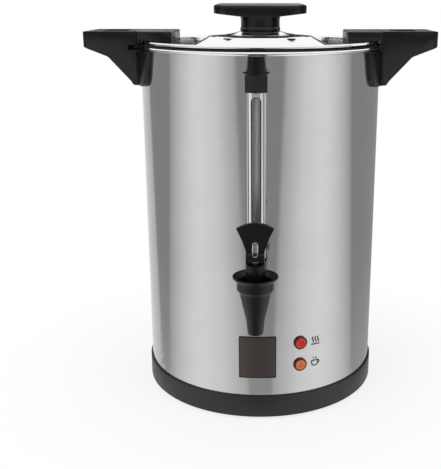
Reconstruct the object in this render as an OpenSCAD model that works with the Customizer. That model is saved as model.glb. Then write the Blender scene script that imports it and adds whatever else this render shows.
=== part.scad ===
// Coffee urn: a steel drum on a plastic base ring, with a twist-lock lid, two loop grips,
// a sight gauge, a lever faucet, two pilot lamps and a percolator inside.
// The origin is on the counter at the drum's axis, +Z is up and the faucet points to -Y.

/* [Body] */
// Outside diameter of the steel drum
body_d = 250; // [240:1:262]
// Thickness of the drum wall
body_wall = 1; // [0.8:0.1:1.4]
// Height of the drum from its lower edge to the rim bead
body_h = 358; // [350:1:390]
// Radius of the rolled bead at the rim
bead_r = 1.9; // [1.6:0.1:2.2]
// Height of the pot floor above the drum's lower edge
floor_rise = 119; // [112:1:122]
// Thickness of the pot floor
floor_t = 1.2; // [1:0.1:1.6]
// Inside radius of the pump well in the floor
well_r = 22; // [20:0.5:25]
// Depth of the pump well
well_depth = 12; // [9:0.5:14]

/* [Base] */
// Height of the gap between the counter and the base ring
foot_gap = 3; // [2:0.5:5]
// Height of the base ring
ring_h = 24; // [20:1:30]
// Thickness of the base ring outside the drum
ring_wall = 1.8; // [1.4:0.1:3]
// Width of the shelf that carries the drum
shelf_w = 14; // [12:1:18]
// Thickness of the shelf
shelf_t = 3; // [2.5:0.5:4]
// Thickness of the base plate
plate_t = 1.2; // [0.8:0.1:2]
// Diameter of a rubber foot
foot_d = 20; // [16:1:26]

/* [Heating] */
// Radius of the aluminium heat plate
heat_plate_r = 68; // [66:1:74]
// Thickness of the heat plate
heat_plate_t = 5; // [4:0.5:7]
// Bend radius of the brewing element
brew_bend_r = 42; // [40:1:44]
// Tube radius of the brewing element
brew_tube_r = 4; // [3.2:0.1:4.2]
// Bend radius of the keep-warm element
warm_bend_r = 88; // [84:1:96]
// Tube radius of the keep-warm element
warm_tube_r = 3.2; // [2.8:0.1:4]

/* [Lamps and inlet] */
// Azimuth of the lamps from the faucet, in degrees
lamp_azimuth = 20.4; // [18:0.2:26]
// Height of the upper lamp above the counter
lamp_high_z = 83; // [80:1:90]
// Distance between the two lamps
lamp_pitch = 24; // [20:1:28]
// Diameter of a lamp bezel
bezel_d = 14; // [13:0.5:17]
// Diameter of a lamp lens
lens_d = 10.8; // [9:0.2:11]
// Width of the inlet opening
inlet_w = 24.4; // [24:0.2:25.6]
// Height of the inlet opening
inlet_h = 16.4; // [16:0.2:17]
// Height of the inlet above the counter
inlet_z = 58; // [52:1:66]

/* [Faucet] */
// Height of the outlet above the pot floor
outlet_rise = 23; // [20:1:26]
// Distance from the drum to the faucet's axis
faucet_reach = 48; // [47:1:56]
// Radius of the threaded shank
shank_r = 8; // [7:0.5:8.5]
// Radius of the bore through the shank
shank_bore_r = 4; // [3:0.5:4.5]
// Length of the spout below the outlet
spout_drop = 34; // [30:0.5:40]
// Radius of the spout's tip
tip_r = 7.1; // [6.2:0.1:7.4]
// Radius of the cone under the collar
cone_r = 14.9; // [13:0.1:15.6]
// Radius of the collar
collar_r = 17.3; // [16.5:0.1:18]
// Radius of the flared lip
lip_r = 21.2; // [20:0.1:22]
// Radius of the valve chamber
chamber_r = 5.2; // [5:0.1:5.6]
// Width of the lever's fan
fan_w = 34; // [28:0.2:38]
// Width of the lever's block
block_w = 16.6; // [15:0.2:18]
// Height of the lever above its pin
lever_h = 32.5; // [30:0.5:40]
// Tilt of the lever when it is fully open, in degrees
lever_tilt = 55; // [45:1:60]
// Lift of the valve when it is fully open
valve_lift = 4; // [3:0.2:4.4]
// Radius of the lever's pin
pin_r = 1.45; // [1.2:0.05:1.6]
// Radius of the valve stem
stem_r = 1.9; // [1.6:0.1:2.1]

/* [Sight gauge] */
// Distance from the drum to the gauge's axis
gauge_reach = 14; // [13.5:0.5:16]
// Outside radius of the glass tube
glass_r = 5.5; // [5:0.1:5.8]
// Wall of the glass tube
glass_wall = 1.5; // [1:0.1:2]
// Width of the guard at the drum
guard_w = 18; // [17.4:0.1:19.4]
// Width of the guard's front panel
guard_face_w = 7.4; // [7:0.1:8.4]
// Thickness of the guard's sheet
guard_t = 0.8; // [0.6:0.1:1]
// Width of the window in the guard
window_w = 8.4; // [7.6:0.1:9]
// Length of the cap at the top of the gauge
cap_h = 30; // [28:1:36]
// Length of the cap's sleeve
sleeve_h = 15.4; // [12:0.2:17]

/* [Grips] */
// Distance that a grip stands out from the drum
grip_reach = 55; // [50:1:62]
// Width of a grip
grip_w = 72; // [66:1:80]
// Height of the grips' top above the rim bead's underside
grip_top = 18.5; // [17:0.5:21]
// Height of a grip from its top to the foot of its saddle
grip_h = 53.4; // [48:0.1:60]
// Height of the grip's outer end
grip_end_h = 15.2; // [13:0.2:17]
// Length of the finger gap along the grip
finger_w = 44; // [40:1:46]
// Depth of the finger gap
finger_gap = 26; // [22:1:30]
// Half angle of the saddle around the drum, in degrees
saddle_angle = 35; // [30:1:36]
// Thickness of the saddle
saddle_t = 4.2; // [3:0.2:6]

/* [Lid] */
// Thickness of the lid's sheet
lid_t = 1; // [0.8:0.1:1.4]
// Radius of the lid's rolled edge
lid_bead_r = 1.8; // [1.5:0.1:2]
// Radius of the raised middle at its top
plateau_r = 54.3; // [50:0.1:58]
// Radius of the raised middle at its foot
cone_foot_r = 73.5; // [68:0.1:78]
// Height of the raised middle
plateau_h = 10; // [8:0.5:12]
// Height of the crown above the edge of the raised middle
crown_h = 2; // [1:0.1:3]
// Distance from the lid's axis to the inner end of an ear
ear_in = 89; // [86:0.5:94]
// Half angle of an ear's tongue, in degrees
tongue_angle = 13; // [11:0.5:14]
// Thickness of an ear's tongue
tongue_t = 3.4; // [2.6:0.1:3.8]
// Depth of the lid seal's skirt
seal_skirt = 9; // [6:0.5:12]

/* [Knob] */
// Length of the knob's bar
knob_l = 96; // [86:1:104]
// Width of the knob's bar
knob_w = 43; // [42:1:48]
// Thickness of the bar at its ends
knob_end_t = 7; // [6:0.5:9]
// Height of the knob
knob_h = 30.8; // [28:0.2:36]
// Diameter of the knob's column
column_d = 42; // [36:0.5:42]

/* [Percolator] */
// Radius of the pump tube
pump_r = 4.6; // [4:0.1:5]
// Wall of the pump tube
pump_wall = 0.8; // [0.6:0.1:1.2]
// Height of the pump stem above the well's floor
pump_h = 226; // [220:1:240]
// Radius of the coffee basket
basket_r = 72; // [64:1:80]
// Height of the coffee basket
basket_h = 78; // [70:1:82]
// Height of the basket's floor above the pot floor
basket_rise = 122; // [110:1:126]
// Thickness of the basket's and cover's sheet
basket_t = 0.8; // [0.6:0.1:1.2]
// Radius of a hole in the basket's floor
perforation_r = 1.6; // [1.2:0.1:1.8]
// Distance between rings of holes
perforation_pitch = 9.5; // [8:0.5:11]

/* [Fits] */
// Gap between pieces that move past each other
clear = 0.3; // [0.3:0.05:0.4]
// Gap between pieces that are fixed together
seat = 0.1; // [0.05:0.05:0.15]
// Gap around a pin or a rod that runs in a bore
running = 0.06; // [0.03:0.01:0.08]

/* [Hidden] */
$fn = 64;
smooth = 180;        // facets of the large round pieces
corner = 24;         // facets of a rounded corner
skin = 0.05;         // overshoot of a cut
black = "#262626";
steel = "silver";
rubber = "#1a1a1a";

// Heights and radii of the drum
body_r = body_d / 2;
wall_in = body_r - body_wall;
plate_drop = 3;
shelf_z = foot_gap + plate_drop;
body_z = shelf_z + shelf_t;
rim_z = body_z + body_h;
bead_out = 1;
bead_c = body_r + bead_out - bead_r;
bead_z = rim_z + bead_r;
bead_top = rim_z + 2 * bead_r;
curl_t = 0.7;
floor_z = body_z + floor_rise;
floor_under = floor_z - floor_t;
flange_h = 10;
well_z = floor_z - well_depth;

// Base
ring_r = body_r + seat + ring_wall;
ring_top = foot_gap + ring_h;
base_plate_r = body_r - 1.5;
base_screw_r = body_r - shelf_w / 2 - 1;
foot_r = body_r - shelf_w - 4 - foot_d / 2;
screw_shank_r = 1.5;
screw_head_r = 3.4;

// Heating
heat_z = floor_under - heat_plate_t;
element_gap = 60;     // degrees left open between an element's ends
terminal_h = 16;
thermostat_r = 8.5;
thermostat_at = brew_bend_r + brew_tube_r + 1.5 + thermostat_r;

// Lamps
bezel_t = 2.2;
lamp_hole_r = lens_d / 2 + 0.6;
lamp_body_h = 24;
lamp_z = [lamp_high_z, lamp_high_z - lamp_pitch];
inlet_wall = 2.6;
inlet_depth = 16;
inlet_body_depth = 22;
inlet_flange = 5;
inlet_stand = 4.5;

// Faucet and gauge axes
outlet_z = floor_z + outlet_rise;
faucet_y = body_r + faucet_reach;
gauge_y = body_r + gauge_reach;
washer_t = 2;
washer_r = shank_r + 5;
flange_t = 3;
washer_flat_in = sqrt(wall_in * wall_in - washer_r * washer_r) - washer_t;
nut_t = 6;
shank_end = washer_flat_in - nut_t - 3;
tee_r = shank_r + 1.5;
tee_end = gauge_y + 11;
socket_depth = 7;
spigot_r = shank_r - 1.5;
boss_r = 8.8;
tee_top = outlet_z + 19;
glass_seat_z = tee_top - 7;
glass_fit = 0.1;
seal_r = glass_r + 1.7;

// Faucet body
tip_z = outlet_z - spout_drop;
cone_top_z = outlet_z + 6.8;
collar_z = outlet_z + 10.4;
collar_h = 7.4;
lip_flare = 5.2;
lip_z = collar_z + collar_h + lip_flare;
bell_wall = 1.7;
valve_seat_z = outlet_z - 13;
outlet_r = chamber_r - 1.2;
throat_r = outlet_r + 0.4;
throat_z = tip_z + 13;
chamber_wall = 1.8;
tube_r = chamber_r + chamber_wall;
tube_top = lip_z + 8.3;
bonnet_t = 3.3;
bonnet_wall = 1.4;
bonnet_r = tube_r + seat + bonnet_wall;
bonnet_top = tube_top + seat + bonnet_t;
bonnet_skirt_z = lip_z - 9;
jam_nut_t = 5;

// Valve and lever
cup_r = chamber_r - 0.4;
cup_z = valve_seat_z + clear / 2;
cup_h = 7;
stem_collar_z = cup_z + cup_h;
stem_collar_t = 1.4;
stem_seal_t = 2;
spring_wire_r = 0.5;
spring_r = chamber_r - 1.2;
spring_turns = 7;
pin_rise = 6.5;
pin_z = bonnet_top + pin_rise;
cam_h = pin_rise - clear;
cam_rate = valve_lift / (lever_tilt * PI / 180);   // lift for each radian of tilt
slot_w = 6.4;
head_w = slot_w - 2 * clear;
head_d = 5;
head_top = 12.6;
ledge_z = 6;
window_top = 15.7;
fan_front = 5;
fan_t = 4.6;
block_back = 6;
crown_drop = 5.1;

// Gauge
guard_front = 8.6;
guard_shoulder = 6.9;
guard_shoulder_x = guard_w / 2 - 1.3;
guard_back = body_r + 3;
cap_top = rim_z - clear;
cap_z = cap_top - cap_h;
cap_side = 1;
cap_stop = cap_z + sleeve_h - 2;
glass_top = cap_stop + 7;
step_h = 3.4;
cap_crown = 1.6;
cap_screw_z = cap_top - 7;

// Grips
grip_z = rim_z + grip_top;
grip_foot = grip_z - grip_h;
grip_x = body_r + grip_reach;
kink_x = body_r + 29.5;
kink_z = grip_z - 25;
toe_x = body_r + 4.2;
finger_x = body_r + 11.5;
seam_r = body_r + 4.5;
ear_r = seam_r - 0.5;
tongue_r = seam_r + 2.9;
bead_clear = body_r + bead_out + clear;
slot_z = rim_z + 0.2;
slot_h = tongue_t + 1.6;
slot_r = tongue_r + 0.6;
mouth_x = body_r + 8;
saddle_top = rim_z - 0.4;
saddle_half = (body_r + saddle_t) * sin(saddle_angle);
saddle_foot_half = saddle_half - 13;
handle_screw_z = grip_foot + 17;
handle_screw_angle = 10;
screw_r = 2;
screw_head = 4.2;

// Lid
lid_wall_r = body_r - 6.8;
lid_bead_c = lid_wall_r + 3.2;
seal_t = 1;
seal_skirt_t = 2.2;
lid_bead_z = bead_top + clear + seal_t + clear + lid_bead_r;
lid_top_z = lid_bead_z + lid_bead_r;
lid_rim_t = 1;
lid_z = lid_bead_z - 4.2;
plateau_z = lid_z + plateau_h;
crown_z = plateau_z + crown_h;
ear_over_z = lid_top_z + clear;
ear_in_r = lid_wall_r - lid_t - 0.4;
ear_leg_in = body_r + bead_out + 0.8;
tongue_z = slot_z + 0.8;
ear_wall = 3;
ear_screw_at = ear_in + 14;
vent_r = plateau_r + 0.7;
vent_angle = 35;
vent_l = 9.6;
vent_w = 4;

// Knob
knob_z = crown_z + seat;
knob_top = knob_z + knob_h;
bar_z = knob_top - knob_end_t - 3;
knob_crown = 3;
knob_end = 9;
neck_h = 3;
flare_r = 37.5;
neck_r = column_d / 2 - 1;
knob_bore_r = 2.6;
knob_corner = 15;

// Percolator
foot_z = well_z + 0.4;
pump_foot_r = well_r - 1.5;
pump_top = well_z + pump_h;
basket_z = floor_z + basket_rise;
basket_top = basket_z + basket_h;
basket_bead_r = 1.4;
sleeve_in = pump_r + 0.8;
sleeve_out = sleeve_in + basket_t;
sleeve_drop = 14;
perforation_in = 16;
perforation_edge = 8;
dome_h = 14;
collar_t = 2.4;

// A ring between two radii
module ring(r_in, r_out, z, h) {
    translate([0, 0, z])
        rotate_extrude($fn = smooth)
            translate([r_in, 0])
                square([r_out - r_in, h]);
}

// A rod along -Y from distance y0 to y1 in front of the axis
module rod(r, y0, y1, z) {
    translate([0, -y0, z])
        rotate([90, 0, 0])
            cylinder(r = r, h = y1 - y0);
}

// Children drawn at the faucet's azimuth, turned to another azimuth
module turned(angle) {
    rotate([0, 0, angle])
        children();
}

// Places children at four corners of the base
module quarters(r) {
    for (i = [0:3])
        rotate([0, 0, 45 + 90 * i])
            translate([r, 0, 0])
                children();
}

// A plate with rounded corners, centred
module rounded(w, h, r) {
    square([w - 2 * r, h], center = true);
    square([w, h - 2 * r], center = true);
    for (x = [-1, 1], y = [-1, 1])
        translate([x * (w / 2 - r), y * (h / 2 - r)])
            circle(r);
}

module urn_body() {
    color(steel) difference() {
        rotate_extrude($fn = smooth) {
            translate([wall_in, body_z])
                square([body_wall, bead_z - body_z]);
            translate([bead_c, bead_z])
                difference() {
                    circle(bead_r);
                    circle(bead_r - curl_t);
                    translate([body_wall, -bead_r])
                        square([bead_r, bead_r - curl_t]);
                }
        }
        rod(shank_r + seat, wall_in - 4, body_r + 2, outlet_z);
        rod(screw_r + seat, wall_in - 2, body_r + 2, cap_screw_z);
        for (z = lamp_z)
            turned(lamp_azimuth)
                rod(lamp_hole_r, wall_in - 2, body_r + 2, z);
        for (side = [90, -90], a = [-1, 1])
            turned(side + a * handle_screw_angle)
                rod(screw_r + seat, wall_in - 2, body_r + 2, handle_screw_z);
        turned(180)
            translate([0, -body_r, inlet_z])
                cube([inlet_w + 2 * (inlet_wall + seat), 12, inlet_h + 2 * (inlet_wall + seat)],
                    center = true);
    }
}

module pot_floor() {
    color("#b8b8b8") rotate_extrude($fn = smooth)
        polygon([
            [0, well_z], [well_r, well_z], [well_r, floor_z], [wall_in - seat, floor_z],
            [wall_in - seat, floor_z - flange_h], [wall_in - seat - floor_t, floor_z - flange_h],
            [wall_in - seat - floor_t, floor_under], [well_r + floor_t, floor_under],
            [well_r + floor_t, well_z - floor_t], [0, well_z - floor_t]]);
}

module base_ring() {
    color(black) difference() {
        union() {
            rotate_extrude($fn = smooth)
                polygon([
                    [body_r - shelf_w, shelf_z], [body_r + seat, shelf_z], [body_r + seat, foot_gap + 0.8],
                    [body_r + seat + 0.8, foot_gap], [ring_r - 0.8, foot_gap], [ring_r, foot_gap + 0.8],
                    [ring_r, ring_top - 0.8], [ring_r - 0.8, ring_top], [body_r + seat, ring_top],
                    [body_r + seat, body_z], [body_r - shelf_w, body_z]]);
            quarters(base_screw_r)
                translate([0, 0, body_z - skin])
                    cylinder(r = screw_shank_r + 2.2, h = 8);
        }
        quarters(base_screw_r)
            translate([0, 0, shelf_z - 1])
                cylinder(r = screw_shank_r + seat, h = shelf_t + 7);
    }
}

module base_plate() {
    vents = 9;
    color("#3a3a3a") translate([0, 0, shelf_z - plate_t]) difference() {
        cylinder(r = base_plate_r, h = plate_t, $fn = smooth);
        quarters(base_screw_r)
            translate([0, 0, -1])
                cylinder(r = screw_shank_r + 0.3, h = plate_t + 2);
        for (i = [0:vents - 1])
            translate([(i - (vents - 1) / 2) * 9, 0, plate_t / 2])
                linear_extrude(plate_t + 1, center = true)
                    rounded(4, 50, 1.9);
    }
}

module feet() {
    color(rubber) quarters(foot_r)
        cylinder(r1 = foot_d / 2 - 1, r2 = foot_d / 2, h = shelf_z - plate_t);
}

// A pan-head screw that points up, with its head's top at z = 0
module screw(r, head_r, head_h, length) {
    translate([0, 0, -head_h])
        cylinder(r = head_r, h = head_h);
    translate([0, 0, -skin])
        cylinder(r = r, h = length + skin);
}

module base_screws() {
    color("gray") quarters(base_screw_r)
        translate([0, 0, shelf_z - plate_t])
            screw(screw_shank_r, screw_head_r, 1.3, plate_t + shelf_t + 5);
}

module heat_plate() {
    color("#c9c9c9") ring(well_r + floor_t + seat, heat_plate_r, heat_z, heat_plate_t);
}

// A bent tubular element, its two ends turned down through an elbow
module element(bend_r, tube_r, z) {
    half = element_gap / 2;
    elbow_r = tube_r + 4;
    leg = terminal_h - elbow_r;
    translate([0, 0, z]) {
        rotate([0, 0, 90 + half])
            rotate_extrude(angle = 360 - element_gap, $fn = smooth)
                translate([bend_r, 0])
                    circle(tube_r, $fn = 32);
        for (side = [-1, 1])
            rotate([0, 0, 90 + side * half])
                translate([bend_r, 0, -elbow_r]) {
                    rotate([side > 0 ? 180 : 0, -90, 0])
                        rotate_extrude(angle = 90)
                            translate([elbow_r, 0])
                                circle(tube_r, $fn = 32);
                    translate([0, -side * elbow_r, -leg])
                        cylinder(r = tube_r, h = leg);
                    translate([0, -side * elbow_r, -leg - 8])
                        cylinder(r = tube_r / 2, h = 9);
                }
    }
}

module brew_element() {
    color("#6d6d6d") element(brew_bend_r, brew_tube_r, heat_z - seat - brew_tube_r);
}

module warm_element() {
    color("#6d6d6d") element(warm_bend_r, warm_tube_r, floor_under - seat - warm_tube_r);
}

module thermostat() {
    color("#d8d0bc") translate([thermostat_at, 0, heat_z - seat]) {
        translate([0, 0, -2])
            cylinder(r = thermostat_r, h = 2);
        translate([0, 0, -9])
            cylinder(r = thermostat_r - 1, h = 7.5);
        for (y = [-4, 4])
            translate([-0.4, y - 3.15 / 2, -17])
                cube([0.8, 3.15, 8.5]);
    }
}

module thermal_fuse() {
    fuse_r = 2.2;
    color("#cfc7b0") rotate([0, 0, 180]) translate([thermostat_at, 0, heat_z - seat - fuse_r]) {
        rotate([90, 0, 0])
            cylinder(r = fuse_r, h = 13, center = true);
        rotate([90, 0, 0])
            cylinder(r = 0.5, h = 34, center = true);
    }
}

module terminal_block() {
    block = [44, 18, 16];
    color("#e0ddd0") translate([0, 62, shelf_z]) difference() {
        translate([-block[0] / 2, -block[1] / 2, 0])
            cube(block);
        for (x = [-15, -5, 5, 15]) {
            translate([x, 0, 8])
                cylinder(r = 2.4, h = 10);
            translate([x, 0, 5])
                rotate([90, 0, 0])
                    cylinder(r = 2, h = block[1] + 2, center = true);
        }
    }
}

// The inlet's outline, its earth side up
module inlet_outline(grow) {
    w = inlet_w + 2 * grow;
    h = inlet_h + 2 * grow;
    bevel = 5;
    polygon([
        [-w / 2, -h / 2], [w / 2, -h / 2], [w / 2, h / 2 - bevel],
        [w / 2 - bevel, h / 2], [-w / 2 + bevel, h / 2], [-w / 2, h / 2 - bevel]]);
}

// Children extruded outwards at the back of the drum from distance y0 to y1
module from_back(y0, y1) {
    translate([0, y1, inlet_z])
        rotate([90, 0, 0])
            linear_extrude(y1 - y0)
                children();
}

module inlet_socket() {
    face = body_r + inlet_stand;
    color(black) difference() {
        union() {
            from_back(face - inlet_body_depth, face)
                square([inlet_w + 2 * inlet_wall, inlet_h + 2 * inlet_wall], center = true);
            difference() {
                from_back(body_r - 3, face)
                    rounded(inlet_w + 2 * inlet_wall + 2 * inlet_flange,
                        inlet_h + 2 * inlet_wall + 2 * inlet_flange, 4);
                cylinder(r = body_r + seat, h = rim_z, $fn = smooth);
            }
        }
        from_back(face - inlet_depth, face + 1)
            inlet_outline(0);
        for (pin = inlet_pin_places())
            translate([pin[0], 0, 0])
                from_back(face - inlet_body_depth - 1, face - inlet_depth + 1)
                    translate([0, pin[1]])
                        square([2 + 2 * running, 4 + 2 * running], center = true);
    }
}

function inlet_pin_places() = [[-7, -2], [7, -2], [0, 2]];

module inlet_pins() {
    face = body_r + inlet_stand;
    color("#d0c68c") for (pin = inlet_pin_places())
        translate([pin[0], 0, 0])
            from_back(face - inlet_body_depth - 7, face - 5)
                translate([0, pin[1]])
                    square([2, 4], center = true);
}

// Children at both lamps, with -Y pointing out of the drum
module at_lamp(i) {
    turned(lamp_azimuth)
        translate([0, -body_r, lamp_z[i]])
            rotate([90, 0, 0])
                children();
}

module lamp_bezels() {
    color("#7a1712") for (i = [0, 1])
        at_lamp(i)
            translate([0, 0, seat])
                difference() {
                    rotate_extrude()
                        polygon([[lens_d / 2 + seat, 0], [bezel_d / 2, 0], [bezel_d / 2, bezel_t - 0.7],
                            [bezel_d / 2 - 0.7, bezel_t], [lens_d / 2 + seat, bezel_t]]);
                }
}

// A neon lamp: a stepped lens in front, a body and two blades behind the wall
module lamp() {
    rotate_extrude()
        polygon([[0, -lamp_body_h], [lens_d / 2 - 0.6, -lamp_body_h], [lens_d / 2 - 0.6, -3],
            [lens_d / 2, -2], [lens_d / 2, bezel_t], [lens_d / 2 - 0.8, bezel_t + 0.8],
            [0, bezel_t + 0.8]]);
    for (x = [-2.5, 2.5])
        translate([x - 1.4, -0.4, -lamp_body_h - 7])
            cube([2.8, 0.8, 7.5]);
}

module heating_lamp() {
    color("#d8281a") at_lamp(0)
        lamp();
}

module warm_lamp() {
    color("#d86a1a") at_lamp(1)
        lamp();
}

module lamp_nuts() {
    nut_h = 2.4;
    color("#e8e8e0") for (i = [0, 1])
        at_lamp(i)
            translate([0, 0, -body_wall - 0.4 - nut_h])
                difference() {
                    cylinder(r = lens_d / 2 + 2.6, h = nut_h);
                    translate([0, 0, -1])
                        cylinder(r = lens_d / 2 + seat, h = nut_h + 2);
                }
}

module gauge_tee() {
    color("#303030") difference() {
        union() {
            rod(shank_r, shank_end, body_r + washer_t + flange_t, outlet_z);
            rod(washer_r, body_r + washer_t, body_r + washer_t + flange_t, outlet_z);
            rod(tee_r, body_r + washer_t + 1, tee_end, outlet_z);
            translate([0, -gauge_y, outlet_z])
                cylinder(r = boss_r, h = tee_top - outlet_z);
        }
        rod(shank_bore_r, shank_end - 1, tee_end + 1, outlet_z);
        rod(spigot_r + seat, tee_end - socket_depth, tee_end + 1, outlet_z);
        translate([0, -gauge_y, outlet_z])
            cylinder(r = glass_r - glass_wall, h = tee_top - outlet_z + 1);
        translate([0, -gauge_y, glass_seat_z])
            cylinder(r = seal_r + seat, h = tee_top - glass_seat_z + 1);
    }
}

module shank_washers() {
    color("#e6e2da") {
        difference() {
            rod(washer_r, body_r - 2, body_r + washer_t, outlet_z);
            rod(shank_r + seat, body_r - 3, body_r + washer_t + 1, outlet_z);
            cylinder(r = body_r + seat, h = rim_z, $fn = smooth);
        }
        difference() {
            intersection() {
                rod(washer_r, washer_flat_in, body_r, outlet_z);
                cylinder(r = wall_in - seat, h = rim_z, $fn = smooth);
            }
            rod(shank_r + seat, washer_flat_in - 1, body_r, outlet_z);
        }
    }
}

module shank_nut() {
    color(steel) difference() {
        translate([0, -(washer_flat_in - nut_t), outlet_z])
            rotate([90, 0, 0])
                cylinder(r = washer_r, h = nut_t, $fn = 6);
        rod(shank_r + seat, washer_flat_in - nut_t - 1, washer_flat_in + 1, outlet_z);
    }
}

// The way that the face from one corner to the next looks, in degrees from sideways
function facing(a, b) = atan2(a[0] - b[0], b[1] - a[1]);

// Outline of the guard in plan, the drum behind it and grown outwards by a gap
module guard_outline(grow) {
    corners = [
        [guard_w / 2, 0], [guard_shoulder_x, guard_shoulder], [guard_face_w / 2, guard_front]];
    lean = [0, facing(corners[0], corners[1]), facing(corners[1], corners[2]), 90];
    half = concat(
        [[guard_w / 2 + grow, guard_back - gauge_y - grow]],
        [for (i = [0:2])
            let (turn = (lean[i] + lean[i + 1]) / 2, reach = grow / cos((lean[i + 1] - lean[i]) / 2))
                corners[i] + reach * [cos(turn), sin(turn)]]);
    translate([0, -gauge_y])
        polygon(concat(
            [for (p = half) [p[0], -p[1]]], [for (i = [3:-1:0]) [-half[i][0], -half[i][1]]]));
}

module gauge_shoe() {
    shoe_h = 8;
    color(black) translate([0, 0, tee_top]) difference() {
        linear_extrude(shoe_h)
            guard_outline(cap_side);
        translate([0, 0, 1])
            linear_extrude(shoe_h)
                guard_outline(seat);
        translate([0, -gauge_y, -1])
            cylinder(r = glass_r + glass_fit, h = 3);
    }
}

module gauge_glass() {
    color("#c8d4d8", 0.5) translate([0, -gauge_y, glass_seat_z + seat]) difference() {
        cylinder(r = glass_r, h = glass_top - glass_seat_z - seat);
        translate([0, 0, -1])
            cylinder(r = glass_r - glass_wall, h = glass_top - glass_seat_z + 2);
    }
}

module gauge_guard() {
    guard_z = tee_top + 1 + seat;
    guard_top = cap_stop - seat;
    slot_low = guard_z + 14;
    slot_high = cap_z - 4.4 - window_w / 2;
    color("#d5d5d5") difference() {
        translate([0, 0, guard_z])
            linear_extrude(guard_top - guard_z)
                difference() {
                    guard_outline(0);
                    guard_outline(-guard_t);
                    translate([-guard_w / 2 + guard_t, -guard_back - skin - 1])
                        square([guard_w - 2 * guard_t, 2]);
                }
        translate([0, -gauge_y, 0])
            rotate([90, 0, 0])
                linear_extrude(guard_front + 2) {
                    translate([-window_w / 2, slot_low])
                        square([window_w, slot_high - slot_low]);
                    for (z = [slot_low, slot_high])
                        translate([0, z])
                            circle(window_w / 2);
                }
    }
}

// The cap: a hexagonal sleeve over the guard, a collar and a tapered plug
module gauge_cap() {
    half = guard_w / 2 + cap_side;
    plug_r = half - 1.2;
    top_r = half - 2.2;
    hex_r = half / cos(30);
    front = gauge_y + seat + cap_side + max(
        guard_front + guard_face_w / 2 * tan(30), guard_shoulder + guard_shoulder_x * tan(30));
    side = front - half * tan(30);
    sleeve_z = cap_z + sleeve_h;
    plug_z = sleeve_z + step_h;
    color(black) difference() {
        union() {
            difference() {
                translate([0, 0, cap_z])
                    linear_extrude(sleeve_h)
                        polygon([
                            [-half, -body_r + 4], [-half, -side], [0, -front], [half, -side],
                            [half, -body_r + 4]]);
                intersection() {
                    translate([0, -front + hex_r, 0])
                        rotate_extrude()
                            polygon([
                                [half, sleeve_z + skin], [hex_r + 1, sleeve_z - 2],
                                [hex_r + 1, sleeve_z + 1], [half, sleeve_z + 1]]);
                    translate([-guard_w, -front - 2, cap_z])
                        cube([2 * guard_w, hex_r + 2, cap_h]);
                }
            }
            translate([0, -gauge_y, sleeve_z - skin])
                cylinder(r = half - 0.6, h = step_h + skin);
            translate([0, -gauge_y, plug_z - skin])
                cylinder(r1 = plug_r, r2 = top_r, h = cap_top + cap_crown - plug_z + skin);
            translate([0, -body_r + 4, 0])
                rotate([90, 0, 0])
                    linear_extrude(gauge_reach + 4)
                        polygon([
                            [-half + 0.6, sleeve_z - skin], [half - 0.6, sleeve_z - skin],
                            [half - 0.6, plug_z], [plug_r, plug_z], [top_r, cap_top],
                            [-top_r, cap_top], [-plug_r, plug_z],
                            [-half + 0.6, plug_z]]);
        }
        cylinder(r = body_r + seat, h = rim_z, $fn = smooth);
        translate([0, 0, cap_z - 1])
            linear_extrude(cap_stop - cap_z + 1)
                guard_outline(seat);
        translate([0, -gauge_y, cap_stop - 1])
            cylinder(r = seal_r + seat, h = 6);
        translate([0, -gauge_y, cap_stop - 1])
            cylinder(r = glass_r + glass_fit, h = glass_top - cap_stop + 1.5);
        rod(screw_r + seat, body_r - 1, body_r + 7.5, cap_screw_z);
    }
}

module gauge_seals() {
    color("#e6e2da") {
        translate([0, -gauge_y, glass_seat_z + seat])
            difference() {
                cylinder(r = seal_r, h = 5);
                translate([0, 0, -1])
                    cylinder(r = glass_r + seat / 2, h = 7);
            }
        translate([0, -gauge_y, cap_stop])
            difference() {
                cylinder(r = seal_r, h = 4.8);
                translate([0, 0, -1])
                    cylinder(r = glass_r + seat / 2, h = 7);
            }
    }
}

// A screw from inside the pot through the drum wall, at the faucet's azimuth
module wall_screw(length, z, inset) {
    translate([0, -wall_in + inset, z])
        rotate([90, 0, 0])
            screw(screw_r, screw_head, 2.4, length);
}

module cap_screw() {
    color(steel) wall_screw(body_wall + 7, cap_screw_z, 0.2);
}

module faucet_nut() {
    color("#303030") difference() {
        translate([0, -tee_end - seat, outlet_z])
            rotate([90, 0, 0])
                rotate([0, 0, 30])
                    cylinder(r = 10.8, h = jam_nut_t, $fn = 6);
        rod(shank_r + seat, tee_end - 1, tee_end + jam_nut_t + 1, outlet_z);
    }
}

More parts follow.
